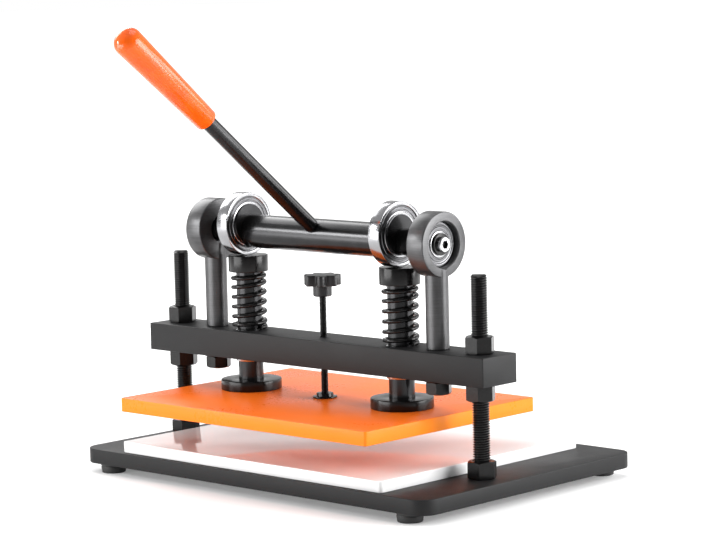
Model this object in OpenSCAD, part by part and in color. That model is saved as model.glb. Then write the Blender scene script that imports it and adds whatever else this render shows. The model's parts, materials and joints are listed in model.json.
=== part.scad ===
// Manual die cutting press.
// A lever turns an eccentric shaft, whose two bearing wheels push a spring-returned plate
// down towards a cutting board. The beam that carries them is clamped on two threaded columns.
// Millimetres. The origin is the middle of the board's top face, in the plane of the columns.
// +X is the operator's right, +Y points away from the operator, +Z is up.

/* [Base] */
// Width of the base plate
base_w = 502; // [440:1:580]
// Distance from the columns to the front edge of the base plate
base_front = 125; // [110:1:180]
// Distance from the columns to the back edge of the base plate
base_back = 210; // [180:1:260]
// Thickness of the base plate
base_t = 16; // [12:1:30]
// Corner radius of the base plate
base_corner_r = 20; // [5:1:30]

/* [Feet] */
// Diameter of a rubber foot
foot_d = 28; // [22:1:40]
// Height of a rubber foot
foot_h = 10; // [8:1:25]
// Taper of a foot, on the radius, from top to bottom
foot_taper = 1; // [0:0.5:3]
// Gap from a foot's rim to the side edges of the base plate
foot_side_inset = 19; // [10:1:40]
// Gap from a foot's rim to the front and back edges of the base plate
foot_end_inset = 2; // [2:1:30]
// Thread diameter of a foot screw
foot_screw_d = 6; // [4:0.5:8]
// Head diameter of a foot screw
foot_head_d = 11; // [9:0.5:14]
// Head height of a foot screw
foot_head_h = 3.5; // [2:0.5:5]
// Depth of the foot's recess below the screw head
foot_head_cover = 2; // [1:0.5:3]
// Depth of the screw's thread in the base plate
foot_thread_depth = 9; // [5:1:11]

/* [Cutting board] */
// Gap from each side of the board to the side edge of the base plate
board_side_inset = 61; // [56:1:90]
// Gap from the board to the front edge of the base plate
board_front_inset = 5; // [2:1:30]
// Gap from the board to the back edge of the base plate
board_back_inset = 21; // [8:1:50]
// Thickness of the board
board_t = 12; // [6:1:25]
// Corner radius of the board
board_corner_r = 4; // [1:0.5:12]

/* [Columns] */
// Distance of each column from the side edge of the base plate
column_inset = 33; // [28:1:38]
// Thread diameter of a column
column_d = 18; // [14:1:22]
// Height of a column above the base plate
column_h = 207; // [180:1:260]
// Bevel at the top of a column
column_bevel = 2; // [0.5:0.5:4]
// Wall of a column nut, from its thread to its flats
column_nut_wall = 4.5; // [3:0.5:7]
// Height of a column nut
column_nut_h = 18; // [12:1:24]

/* [Beam] */
// Length of beam past each column's axis
beam_end = 26; // [20:1:40]
// Depth of the beam, front to back
beam_d = 52; // [48:1:70]
// Height of the beam's section
beam_h = 30; // [20:1:40]
// Height of the beam's underside above the board
beam_bottom = 85; // [84:1:110]

/* [Bearing posts] */
// Distance of each bearing post from its column
post_inset = 56; // [46:1:58]
// Diameter of a post
post_d = 24; // [18:1:30]
// Thread diameter of the stud under a post
post_stud_d = 16; // [10:1:18]
// Wall of a post nut, from its thread to its flats
post_nut_wall = 4; // [3:0.5:6]
// Height of a post nut
post_nut_h = 13; // [8:1:16]
// Length of stud left showing under a post nut
post_stud_end = 1; // [0.5:0.5:2]
// Rim of a post washer outside its nut's corners
post_washer_rim = 1; // [0.5:0.5:4]
// Thickness of a post washer
post_washer_t = 3; // [1:0.5:4]
// Wall of the round bearing housing
housing_wall = 10; // [5:0.5:12]
// Width of the bearing housing along the shaft
housing_w = 22; // [18:1:26]
// Thickness of the shoulder that holds the end bearing on the inner side
housing_shoulder = 2; // [1.5:0.5:3]
// Room round the spacer sleeve where it passes the shoulder
shoulder_gap = 1.5; // [1:0.25:3]

/* [Shaft] */
// Height of the shaft's axis above the beam
shaft_rise = 107.5; // [100:0.5:125]
// Diameter of the shaft between the wheels
shaft_d = 36; // [30:1:40]
// Throw of the eccentric journals
throw = 9.5; // [8:0.5:12]
// Angle from upright, towards the operator, at which the throw stands with the lever at rest
throw_lean = 30; // [0:1:45]
// Width and height of the shoulder that stops a wheel on its eccentric journal
wheel_shoulder = 1.5; // [1:0.25:2.5]
// Diameter of the end journals
journal_d = 20; // [15:1:22]
// Wall of a spacer sleeve
sleeve_wall = 4; // [2:0.5:4.5]
// Thread diameter of a shaft end bolt
end_bolt_d = 10; // [6:1:12]
// Head diameter of a shaft end bolt
end_head_d = 16; // [15:0.5:20]
// Head height of a shaft end bolt
end_head_h = 5; // [5:0.5:8]
// Width across the flats of the hexagon socket in an end bolt
end_socket_af = 8; // [4:0.5:9]
// Depth of the hexagon socket
end_socket_depth = 3; // [2:0.5:4]
// Length of an end bolt's thread
end_bolt_len = 22; // [12:1:40]
// Diameter of a shaft end washer
end_washer_d = 23; // [22:0.5:28]
// Thickness of a shaft end washer
end_washer_t = 2.5; // [1:0.5:3]

/* [Bearings] */
// Distance of each bearing wheel from its bearing post
wheel_inset = 51; // [46:1:60]
// Outside diameter of a bearing wheel
wheel_d = 68; // [64:1:76]
// Width of a bearing wheel
wheel_w = 15; // [12:1:20]
// Outside diameter of an end bearing
end_bearing_d = 47; // [44:1:54]
// Width of an end bearing
end_bearing_w = 14; // [10:1:15]
// Balls in a bearing
ball_count = 8; // [6:1:9]
// Ball diameter as a share of a bearing's radial section
ball_share = 0.6; // [0.5:0.01:0.62]
// Ring thickness as a share of a bearing's radial section
ring_share = 0.3; // [0.27:0.01:0.34]
// Thickness of a bearing shield
shield_t = 0.8; // [0.5:0.1:1.2]
// Depth of a shield below the face of its ring
shield_inset = 0.6; // [0.4:0.1:1]

/* [Plungers] */
// Diameter of a plunger
plunger_d = 27; // [20:1:29]
// Outside diameter of a plunger collar
collar_d = 43; // [40:1:56]
// Height of a plunger collar
collar_h = 18; // [10:1:24]
// Thickness of a collar's closed top
collar_cap = 5; // [3:1:8]
// Outside diameter of a plunger flange
flange_d = 66; // [60:1:90]
// Thickness of a plunger flange
flange_h = 11; // [7:1:14]
// Screws that hold a flange
flange_screw_count = 4; // [3:1:6]
// Distance of a flange screw from the plunger's axis
flange_screw_r = 23; // [20:0.5:25]
// Thread diameter of a flange screw
flange_screw_d = 6; // [4:0.5:8]
// Head diameter of a flange screw
flange_head_d = 12; // [9:0.5:14]
// Depth of a flange screw's thread in the flange
flange_thread_depth = 6; // [3:0.5:8]
// Wall of a guide bush
bush_wall = 2; // [1.5:0.5:6]
// Length of a guide bush below the beam
bush_end = 4; // [1:0.5:8]

/* [Springs] */
// Outside diameter of a spring
spring_d = 39; // [37:0.5:48]
// Wire diameter of a spring
spring_wire = 4.5; // [3:0.25:5]
// Turns of a spring
spring_turns = 6.5; // [4:0.5:8]

/* [Press plate] */
// Gap from each side of the press plate to the side of the board
plate_side_inset = 10; // [0:1:30]
// Depth of the press plate
plate_d = 260; // [200:1:280]
// Thickness of the press plate
plate_t = 15; // [10:1:20]
// Height of the press plate's underside above the board
plate_gap = 35; // [25:1:42]
// Corner radius of the press plate
plate_corner_r = 3; // [1:0.5:12]

/* [Stop screw] */
// Thread diameter of the stop screw
stop_d = 8; // [6:0.5:12]
// Diameter of the stop foot's disc
stop_disc_d = 26; // [22:0.5:36]
// Thickness of the stop foot's disc
stop_disc_h = 1.5; // [1:0.5:3]
// Diameter of the stop foot's hub
stop_hub_d = 18; // [14:0.5:20]
// Height of the stop foot's hub over its disc
stop_hub_h = 3.5; // [3:0.5:7]
// Depth of the screw's socket in the foot
stop_socket = 2.5; // [1.5:0.5:3]
// Height of the knob's hub above the beam
knob_rise = 43.5; // [30:0.5:50]
// Diameter of the knob's hub
knob_hub_d = 20; // [16:0.5:26]
// Height of the knob's hub
knob_hub_h = 11.5; // [6:0.5:16]
// Diameter over the knob's lobes
knob_d = 40; // [32:1:52]
// Height of the knob's head
knob_h = 11.5; // [8:0.5:16]
// Lobes of the knob
knob_lobes = 7; // [5:1:9]
// Diameter of a knob lobe
knob_lobe_d = 12; // [8:0.5:13]
// Thickness left over the screw inside the knob
knob_cap = 4; // [2:0.5:7]

/* [Lever] */
// Angle of the lever above the horizontal
lever_angle = 39; // [20:1:60]
// Distance from the shaft's axis to the tip of the grip
lever_len = 351; // [280:1:420]
// Diameter of the lever rod
lever_d = 16; // [14.5:0.5:20]
// Thread diameter of the lever's screwed end
lever_thread_d = 14; // [8:0.5:14]
// Depth of the lever's screwed end past the shaft's axis
lever_past_axis = 8; // [2:0.5:12]
// Length of the grip
grip_len = 143; // [100:1:180]
// Grip diameter at its inner end
grip_inner_d = 24; // [22:0.5:32]
// Grip diameter near its tip
grip_tip_d = 30; // [26:0.5:38]
// Height of the grip's rounded tip
grip_dome_h = 12; // [8:0.5:18]
// Wall left past the rod inside the grip's tip
grip_cap = 18; // [14:1:24]

/* [Clearances] */
// Radial clearance of running and screwed fits
fit_gap = 0.05; // [0.02:0.01:0.1]
// Gap kept between faces that move past each other
run_gap = 0.3; // [0.2:0.05:0.5]
// Clearance between a ball and its races
race_gap = 0.1; // [0.05:0.01:0.2]

/* [Hidden] */
// Overrun of a cut past a face, and of a joined shape into its neighbour
over = 1;
// Room left past the end of a screw, round its head, or inside a wheel passing over its journal
plain_gap = 0.5;
// Levels, measured from the board's top
base_top = -board_t;
base_bottom = base_top - base_t;
floor_z = base_bottom - foot_h;
column_top = base_top + column_h;
beam_top = beam_bottom + beam_h;
shaft_z = beam_top + shaft_rise;
plate_top = plate_gap + plate_t;
flange_top = plate_top + flange_h;
wheel_y = -throw * sin(throw_lean);
wheel_z = shaft_z + throw * cos(throw_lean);
collar_top = wheel_z - wheel_d / 2 - run_gap;
collar_bottom = collar_top - collar_h;
knob_hub_z = beam_top + knob_rise;
knob_head_z = knob_hub_z + knob_hub_h;
stop_foot_z = plate_top + run_gap;
stop_foot_top = stop_foot_z + stop_disc_h + stop_hub_h;
// Widths and places across the machine, from the base plate's width
column_x = base_w / 2 - column_inset;
board_w = base_w - 2 * board_side_inset;
board_front = base_front - board_front_inset;
board_back = base_back - board_back_inset;
plate_w = board_w - 2 * plate_side_inset;
beam_w = 2 * (column_x + beam_end);
post_x = column_x - post_inset;
wheel_x = post_x - wheel_inset;
foot_x = base_w / 2 - foot_side_inset - foot_d / 2;
foot_front_y = -base_front + foot_end_inset + foot_d / 2;
foot_back_y = base_back - foot_end_inset - foot_d / 2;
// Places along the shaft, from the middle outwards
wheel_inner_x = wheel_x - wheel_w / 2;
wheel_outer_x = wheel_x + wheel_w / 2;
shoulder_x = wheel_inner_x - wheel_shoulder;
housing_inner_x = post_x - housing_w / 2;
seat_x = housing_inner_x + housing_shoulder;
end_bearing_x = seat_x + end_bearing_w / 2;
end_face_x = seat_x + end_bearing_w;
// Sizes that follow from a fit; a wheel's bore lets it pass over the end journal to its place
wheel_bore = journal_d + 2 * throw + 2 * plain_gap;
column_nut_af = column_d + 2 * column_nut_wall;
post_nut_af = post_stud_d + 2 * post_nut_wall;
post_nut_corner_d = post_nut_af / cos(30);
post_washer_d = post_nut_corner_d + 2 * post_washer_rim;
post_nut_top = beam_bottom - post_washer_t;
post_stud_bottom = post_nut_top - post_nut_h - post_stud_end;
housing_d = end_bearing_d + 2 * housing_wall;
shoulder_d = journal_d + 2 * sleeve_wall + 2 * shoulder_gap;
bush_d = plunger_d + 2 * fit_gap + 2 * bush_wall;
spring_bottom = beam_top;
spring_top = collar_bottom - run_gap;
spring_r = (spring_d - spring_wire) / 2;
grip_start = lever_len - grip_len;
rod_end = lever_len - grip_cap;
nut_bevel_angle = 30;
$fn = 96;
sides = [-1, 1];

// A rectangle with rounded corners between two opposite corner points
module rounded_outline(low, high, r) {
    size = high - low;
    translate(low + [r, 0])
        square([size.x - 2 * r, size.y]);
    translate(low + [0, r])
        square([size.x, size.y - 2 * r]);
    for (x = [low.x + r, high.x - r], y = [low.y + r, high.y - r])
        translate([x, y])
            circle(r);
}

// A shape turned from +Z onto +X, or onto -X for the left side
module along_shaft(side) {
    rotate([0, side * 90, 0])
        children();
}

// A hexagon nut standing on z = 0 with its corners bevelled top and bottom
module hex_nut(thread_d, wall, h) {
    af = thread_d + 2 * wall;
    corner_r = af / 2 / cos(30);
    bevel = (corner_r - af / 2) * tan(nut_bevel_angle);
    difference() {
        intersection() {
            cylinder(r = corner_r, h = h, $fn = 6);
            rotate_extrude()
                polygon([[0, 0], [af / 2, 0], [corner_r, bevel], [corner_r, h - bevel], [af / 2, h], [0, h]]);
        }
        translate([0, 0, -over])
            cylinder(d = thread_d + 2 * fit_gap, h = h + 2 * over);
    }
}

// Ball bearing pieces, centred on the origin with their axis along Z
function section(bore, od) = (od - bore) / 2;
function pitch_r(bore, od) = (od + bore) / 4;
function ball_r(bore, od) = section(bore, od) * ball_share / 2;
function ring_t(bore, od) = section(bore, od) * ring_share;

module race_groove(bore, od) {
    rotate_extrude()
        translate([pitch_r(bore, od), 0])
            circle(ball_r(bore, od) + race_gap);
}

module ring(r_in, r_out, w) {
    rotate_extrude()
        translate([r_in, -w / 2])
            square([r_out - r_in, w]);
}

module outer_ring(bore, od, w) {
    difference() {
        ring(od / 2 - ring_t(bore, od), od / 2, w);
        race_groove(bore, od);
    }
}

module inner_ring(bore, od, w) {
    difference() {
        ring(bore / 2, bore / 2 + ring_t(bore, od), w);
        race_groove(bore, od);
    }
}

module balls(bore, od) {
    for (i = [0 : ball_count - 1])
        rotate(i * 360 / ball_count)
            translate([pitch_r(bore, od), 0, 0])
                sphere(ball_r(bore, od));
}

module shields(bore, od, w) {
    for (z = sides * (w / 2 - shield_inset - shield_t / 2))
        translate([0, 0, z])
            ring(bore / 2 + ring_t(bore, od) + run_gap, od / 2 - ring_t(bore, od), shield_t);
}

// Wound compression spring: one tube along a helix whose end turns lie closer together
spring_sides = 6;
spring_rings_per_turn = 8;
spring_end_turns = 1;
spring_end_gap = 0.6;
spring_end_pitch = spring_wire + spring_end_gap;
spring_rise = spring_top - spring_bottom - spring_wire;
spring_mid_turns = spring_turns - 2 * spring_end_turns;
spring_mid_pitch = (spring_rise - 2 * spring_end_turns * spring_end_pitch) / spring_mid_turns;
spring_rings = round(spring_turns * spring_rings_per_turn);

// Height of the wire's centre after a number of turns
function spring_z(turn) = spring_bottom + spring_wire / 2
    + min(turn, spring_end_turns) * spring_end_pitch
    + min(max(turn - spring_end_turns, 0), spring_mid_turns) * spring_mid_pitch
    + max(turn - spring_end_turns - spring_mid_turns, 0) * spring_end_pitch;
function spring_point(turn) = [spring_r * cos(360 * turn), spring_r * sin(360 * turn), spring_z(turn)];
function unit(v) = v / norm(v);
function spring_section(turn) =
    let (step = 0.5 / spring_rings_per_turn)
    let (along = unit(spring_point(min(turn + step, spring_turns)) - spring_point(max(turn - step, 0))))
    let (outward = [cos(360 * turn), sin(360 * turn), 0])
    let (across = unit(cross(along, outward)))
    let (side = cross(across, along))
    [for (i = [0 : spring_sides - 1])
        let (a = 360 * i / spring_sides)
        spring_point(turn) + spring_wire / 2 * (cos(a) * side + sin(a) * across)];

spring_stations = [for (i = [0 : spring_rings]) i * spring_turns / spring_rings];
spring_gap = min([for (a = spring_stations, b = spring_stations)
    if (b - a > 0.5) norm(spring_point(a) - spring_point(b)) - spring_wire]);
echo(str("least gap between the turns of a spring, mm: ", spring_gap));

module spring() {
    n = spring_sides;
    last = spring_rings * n;
    points = [for (turn = spring_stations) each spring_section(turn)];
    walls = [for (k = [0 : spring_rings - 1], i = [0 : n - 1])
        let (a = k * n + i, b = k * n + (i + 1) % n)
        each [[a, b, b + n], [a, b + n, a + n]]];
    start_cap = [for (i = [1 : n - 2]) [0, i + 1, i]];
    end_cap = [for (i = [1 : n - 2]) [last, last + i, last + i + 1]];
    polyhedron(points, concat(walls, start_cap, end_cap));
}

// Base
module base_plate() {
    color([0.29, 0.29, 0.3])
        difference() {
            translate([0, 0, base_bottom])
                linear_extrude(base_t)
                    rounded_outline([-base_w / 2, -base_front], [base_w / 2, base_back], base_corner_r);
            for (side = sides)
                translate([side * column_x, 0, base_bottom - over])
                    cylinder(d = column_d + 2 * fit_gap, h = base_t + 2 * over);
            at_feet(base_bottom - over)
                cylinder(d = foot_screw_d + 2 * fit_gap, h = foot_thread_depth + plain_gap + over);
        }
}

module cutting_board() {
    color([0.95, 0.95, 0.95])
        translate([0, 0, base_top])
            linear_extrude(board_t)
                rounded_outline([-board_w / 2, -board_front], [board_w / 2, board_back], board_corner_r);
}

module at_feet(z) {
    for (x = sides * foot_x, y = [foot_front_y, foot_back_y])
        translate([x, y, z])
            children();
}

foot_recess = foot_head_cover + foot_head_h;

module rubber_feet() {
    color([0.05, 0.05, 0.05])
        at_feet(floor_z)
            difference() {
                cylinder(r1 = foot_d / 2 - foot_taper, r2 = foot_d / 2, h = foot_h);
                translate([0, 0, -over])
                    cylinder(d = foot_head_d + 2 * plain_gap, h = foot_recess + over);
                cylinder(d = foot_screw_d + 2 * fit_gap, h = foot_h + over);
            }
}

module foot_screws() {
    color([0.7, 0.7, 0.72])
        at_feet(floor_z) {
            translate([0, 0, foot_head_cover])
                cylinder(d = foot_head_d, h = foot_head_h);
            translate([0, 0, foot_recess - plain_gap])
                cylinder(d = foot_screw_d, h = foot_h - foot_recess + foot_thread_depth + plain_gap);
        }
}

module column(side) {
    color([0.07, 0.07, 0.07])
        translate([side * column_x, 0, base_bottom]) {
            h = column_top - base_bottom;
            cylinder(d = column_d, h = h - column_bevel);
            translate([0, 0, h - column_bevel])
                cylinder(d1 = column_d, d2 = column_d - 2 * column_bevel, h = column_bevel);
        }
}

module left_column() {
    column(-1);
}

module right_column() {
    column(1);
}

module column_nut(side, z) {
    color([0.07, 0.07, 0.07])
        translate([side * column_x, 0, z])
            hex_nut(column_d, column_nut_wall, column_nut_h);
}

module base_nuts() {
    for (side = sides)
        column_nut(side, base_top);
}

module upper_left_nut() {
    column_nut(-1, beam_top);
}

module upper_right_nut() {
    column_nut(1, beam_top);
}

module lower_left_nut() {
    column_nut(-1, beam_bottom - column_nut_h);
}

module lower_right_nut() {
    column_nut(1, beam_bottom - column_nut_h);
}

// Beam and what it carries
module cross_beam() {
    color([0.29, 0.29, 0.3])
        difference() {
            translate([-beam_w / 2, -beam_d / 2, beam_bottom])
                cube([beam_w, beam_d, beam_h]);
            for (side = sides) {
                beam_hole(side * column_x, column_d);
                beam_hole(side * post_x, post_stud_d);
                beam_hole(side * wheel_x, bush_d);
            }
            beam_hole(0, stop_d);
        }
}

module beam_hole(x, d) {
    translate([x, 0, beam_bottom - over])
        cylinder(d = d + 2 * fit_gap, h = beam_h + 2 * over);
}

module bearing_post(side) {
    color([0.16, 0.16, 0.16])
        translate([side * post_x, 0, 0])
            difference() {
                union() {
                    translate([0, 0, post_stud_bottom])
                        cylinder(d = post_stud_d, h = beam_top - post_stud_bottom + over);
                    translate([0, 0, beam_top])
                        cylinder(d = post_d, h = shaft_rise);
                    translate([-housing_w / 2, 0, shaft_z])
                        rotate([0, 90, 0])
                            cylinder(d = housing_d, h = housing_w);
                }
                translate([0, 0, shaft_z])
                    along_shaft(side) {
                        translate([0, 0, -housing_w])
                            cylinder(d = shoulder_d, h = 2 * housing_w);
                        translate([0, 0, housing_shoulder - housing_w / 2])
                            cylinder(d = end_bearing_d, h = housing_w);
                    }
            }
}

module left_post() {
    bearing_post(-1);
}

module right_post() {
    bearing_post(1);
}

module post_nuts() {
    color([0.07, 0.07, 0.07])
        for (side = sides)
            translate([side * post_x, 0, post_nut_top - post_nut_h])
                hex_nut(post_stud_d, post_nut_wall, post_nut_h);
}

module post_washers() {
    color([0.7, 0.7, 0.72])
        for (side = sides)
            translate([side * post_x, 0, post_nut_top])
                difference() {
                    cylinder(d = post_washer_d, h = post_washer_t);
                    translate([0, 0, -over])
                        cylinder(d = post_stud_d + 2 * fit_gap, h = post_washer_t + 2 * over);
                }
}

module guide_bushes() {
    color([0.72, 0.72, 0.74])
        for (side = sides)
            translate([side * wheel_x, 0, beam_bottom - bush_end])
                difference() {
                    cylinder(d = bush_d, h = beam_h + bush_end);
                    translate([0, 0, -over])
                        cylinder(d = plunger_d + 2 * fit_gap, h = beam_h + bush_end + 2 * over);
                }
}

module left_spring() {
    color([0.05, 0.05, 0.05])
        translate([-wheel_x, 0, 0])
            spring();
}

module right_spring() {
    color([0.05, 0.05, 0.05])
        translate([wheel_x, 0, 0])
            spring();
}

// End bearings in the posts
module at_end_bearings() {
    for (side = sides)
        translate([side * end_bearing_x, 0, shaft_z])
            along_shaft(side)
                children();
}

module end_bearing_outer_rings() {
    color([0.6, 0.6, 0.62])
        at_end_bearings()
            outer_ring(journal_d, end_bearing_d, end_bearing_w);
}

module end_bearing_balls() {
    color([0.85, 0.85, 0.87])
        at_end_bearings()
            balls(journal_d, end_bearing_d);
}

module end_bearing_shields() {
    color([0.6, 0.6, 0.62])
        at_end_bearings()
            shields(journal_d, end_bearing_d, end_bearing_w);
}

module end_bearing_inner_rings() {
    color([0.8, 0.8, 0.82])
        at_end_bearings()
            inner_ring(journal_d, end_bearing_d, end_bearing_w);
}

// Shaft
module at_lever() {
    translate([0, 0, shaft_z])
        rotate([90 - lever_angle, 0, 0])
            children();
}

module main_shaft() {
    color([0.1, 0.1, 0.1])
        translate([0, 0, shaft_z])
            difference() {
                union() {
                    translate([-wheel_inner_x, 0, 0])
                        rotate([0, 90, 0])
                            cylinder(d = shaft_d, h = 2 * wheel_inner_x);
                    for (side = sides)
                        along_shaft(side) {
                            translate([side * (shaft_z - wheel_z), wheel_y, shoulder_x]) {
                                cylinder(d = wheel_bore, h = wheel_shoulder + wheel_w);
                                cylinder(d = wheel_bore + 2 * wheel_shoulder, h = wheel_shoulder);
                            }
                            translate([0, 0, wheel_inner_x - over])
                                cylinder(d = journal_d, h = end_face_x - wheel_inner_x + over - run_gap);
                        }
                }
                rotate([90 - lever_angle, 0, 0])
                    translate([0, 0, -lever_past_axis - plain_gap])
                        cylinder(d = lever_thread_d + 2 * fit_gap, h = lever_past_axis + shaft_d);
                for (side = sides)
                    along_shaft(side)
                        translate([0, 0, end_face_x - end_bolt_len - plain_gap])
                            cylinder(d = end_bolt_d + 2 * fit_gap, h = end_bolt_len + 2 * over);
            }
}

module at_wheel(side) {
    translate([side * wheel_x, wheel_y, wheel_z])
        along_shaft(side)
            children();
}

module wheel_inner_rings() {
    color([0.8, 0.8, 0.82])
        for (side = sides)
            at_wheel(side)
                inner_ring(wheel_bore, wheel_d, wheel_w);
}

module spacer_sleeves() {
    color([0.12, 0.12, 0.12])
        for (side = sides)
            translate([0, 0, shaft_z])
                along_shaft(side)
                    translate([0, 0, (wheel_outer_x + seat_x) / 2])
                        ring(journal_d / 2, journal_d / 2 + sleeve_wall, seat_x - wheel_outer_x);
}

module end_washers() {
    color([0.12, 0.12, 0.12])
        for (side = sides)
            translate([0, 0, shaft_z])
                along_shaft(side)
                    translate([0, 0, end_face_x + end_washer_t / 2])
                        ring(end_bolt_d / 2 + fit_gap, end_washer_d / 2, end_washer_t);
}

module end_bolts() {
    color([0.75, 0.75, 0.77])
        for (side = sides)
            translate([0, 0, shaft_z])
                along_shaft(side)
                    translate([0, 0, end_face_x + end_washer_t])
                        difference() {
                            union() {
                                cylinder(d = end_head_d, h = end_head_h);
                                translate([0, 0, -end_washer_t - end_bolt_len])
                                    cylinder(d = end_bolt_d, h = end_washer_t + end_bolt_len + over);
                            }
                            translate([0, 0, end_head_h - end_socket_depth])
                                cylinder(r = end_socket_af / 2 / cos(30), h = end_socket_depth + over, $fn = 6);
                        }
}

module lever_rod() {
    color([0.12, 0.12, 0.12])
        at_lever() {
            translate([0, 0, -lever_past_axis])
                cylinder(d = lever_thread_d, h = lever_past_axis + shaft_d / 2 + over);
            translate([0, 0, shaft_d / 2 + run_gap])
                cylinder(d = lever_d, h = rod_end - shaft_d / 2 - run_gap);
        }
}

grip_dome_steps = 8;
grip_dome = [for (i = [0 : grip_dome_steps])
    let (a = 90 * i / grip_dome_steps)
    [grip_tip_d / 2 * cos(a), grip_len - grip_dome_h + grip_dome_h * sin(a)]];

module lever_grip() {
    color([1, 0.42, 0.1])
        at_lever()
            translate([0, 0, grip_start])
                difference() {
                    rotate_extrude()
                        polygon(concat([[0, 0], [grip_inner_d / 2, 0]], grip_dome));
                    translate([0, 0, -over])
                        cylinder(d = lever_d, h = grip_len - grip_cap + over);
                }
}

// Bearing wheels
module left_wheel_outer_ring() {
    color([0.85, 0.85, 0.87])
        at_wheel(-1)
            outer_ring(wheel_bore, wheel_d, wheel_w);
}

module left_wheel_balls() {
    color([0.85, 0.85, 0.87])
        at_wheel(-1)
            balls(wheel_bore, wheel_d);
}

module left_wheel_shields() {
    color([0.6, 0.6, 0.62])
        at_wheel(-1)
            shields(wheel_bore, wheel_d, wheel_w);
}

module right_wheel_outer_ring() {
    color([0.85, 0.85, 0.87])
        at_wheel(1)
            outer_ring(wheel_bore, wheel_d, wheel_w);
}

module right_wheel_balls() {
    color([0.85, 0.85, 0.87])
        at_wheel(1)
            balls(wheel_bore, wheel_d);
}

module right_wheel_shields() {
    color([0.6, 0.6, 0.62])
        at_wheel(1)
            shields(wheel_bore, wheel_d, wheel_w);
}

// Press head
module at_flange_screws() {
    for (side = sides, i = [0 : flange_screw_count - 1])
        translate([side * wheel_x, 0, plate_gap])
            rotate((i + 0.5) * 360 / flange_screw_count)
                translate([flange_screw_r, 0, 0])
                    children();
}

flange_head_h = (flange_head_d - flange_screw_d) / 2;

module press_plate() {
    color([1, 0.42, 0.12])
        difference() {
            translate([0, 0, plate_gap])
                linear_extrude(plate_t)
                    rounded_outline([-plate_w / 2, -plate_d / 2], [plate_w / 2, plate_d / 2], plate_corner_r);
            at_flange_screws()
                translate([0, 0, -over])
                    cylinder(d = flange_screw_d + 2 * fit_gap, h = plate_t + 2 * over);
            at_flange_screws()
                cylinder(d1 = flange_head_d + 2 * fit_gap, d2 = flange_screw_d + 2 * fit_gap, h = flange_head_h);
        }
}

module flange_screws() {
    color([0.15, 0.15, 0.15])
        at_flange_screws() {
            cylinder(d1 = flange_head_d, d2 = flange_screw_d, h = flange_head_h);
            cylinder(d = flange_screw_d, h = plate_t + flange_thread_depth);
        }
}

module plunger(side) {
    color([0.12, 0.12, 0.12])
        translate([side * wheel_x, 0, plate_top])
            cylinder(d = plunger_d, h = collar_top - collar_cap - plate_top);
}

module left_plunger() {
    plunger(-1);
}

module right_plunger() {
    plunger(1);
}

module plunger_collars() {
    color([0.1, 0.1, 0.1])
        for (side = sides)
            translate([side * wheel_x, 0, collar_bottom])
                difference() {
                    cylinder(d = collar_d, h = collar_h);
                    translate([0, 0, -over])
                        cylinder(d = plunger_d + 2 * fit_gap, h = collar_h - collar_cap + over);
                }
}

module plunger_flanges() {
    color([0.1, 0.1, 0.1])
        difference() {
            for (side = sides)
                translate([side * wheel_x, 0, plate_top])
                    difference() {
                        cylinder(d = flange_d, h = flange_h);
                        translate([0, 0, -over])
                            cylinder(d = plunger_d + 2 * fit_gap, h = flange_h + 2 * over);
                    }
            at_flange_screws()
                cylinder(d = flange_screw_d + 2 * fit_gap, h = plate_t + flange_thread_depth + plain_gap);
        }
}

// Stop screw
module stop_foot() {
    color([0.08, 0.08, 0.08])
        difference() {
            union() {
                translate([0, 0, stop_foot_z])
                    cylinder(d = stop_disc_d, h = stop_disc_h);
                translate([0, 0, stop_foot_z])
                    cylinder(d = stop_hub_d, h = stop_disc_h + stop_hub_h);
            }
            translate([0, 0, stop_foot_top - stop_socket])
                cylinder(d = stop_d + 2 * fit_gap, h = stop_socket + over);
        }
}

stop_screw_z = stop_foot_top - stop_socket + fit_gap;
knob_top = knob_head_z + knob_h;

module stop_screw() {
    color([0.12, 0.12, 0.12])
        translate([0, 0, stop_screw_z])
            cylinder(d = stop_d, h = knob_top - knob_cap - stop_screw_z);
}

module stop_knob() {
    lobe_r = (knob_d - knob_lobe_d) / 2;
    color([0.06, 0.06, 0.06])
        difference() {
            union() {
                translate([0, 0, knob_hub_z])
                    cylinder(d = knob_hub_d, h = knob_hub_h + over);
                translate([0, 0, knob_head_z])
                    linear_extrude(knob_h) {
                        circle(lobe_r);
                        for (i = [0 : knob_lobes - 1])
                            rotate(i * 360 / knob_lobes)
                                translate([lobe_r, 0])
                                    circle(d = knob_lobe_d);
                    }
            }
            translate([0, 0, knob_hub_z - over])
                cylinder(d = stop_d, h = knob_top - knob_cap - knob_hub_z + over);
        }
}

base_plate();
cutting_board();
rubber_feet();
foot_screws();
left_column();
right_column();
base_nuts();
cross_beam();
left_post();
right_post();
post_nuts();
post_washers();
guide_bushes();
left_spring();
right_spring();
end_bearing_outer_rings();
end_bearing_balls();
end_bearing_shields();
end_bearing_inner_rings();
main_shaft();
wheel_inner_rings();
spacer_sleeves();
end_washers();
end_bolts();
lever_rod();
lever_grip();
left_wheel_outer_ring();
left_wheel_balls();
left_wheel_shields();
right_wheel_outer_ring();
right_wheel_balls();
right_wheel_shields();
press_plate();
left_plunger();
right_plunger();
plunger_collars();
plunger_flanges();
flange_screws();
stop_foot();
stop_screw();
stop_knob();
upper_left_nut();
upper_right_nut();
lower_left_nut();
lower_right_nut();
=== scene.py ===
"""Looks of a manual die cutting press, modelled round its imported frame."""

import json
import math
from contextlib import contextmanager

import bpy
from bpy.props import FloatProperty, FloatVectorProperty, IntProperty, PointerProperty
from mathutils import Matrix, Vector


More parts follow.
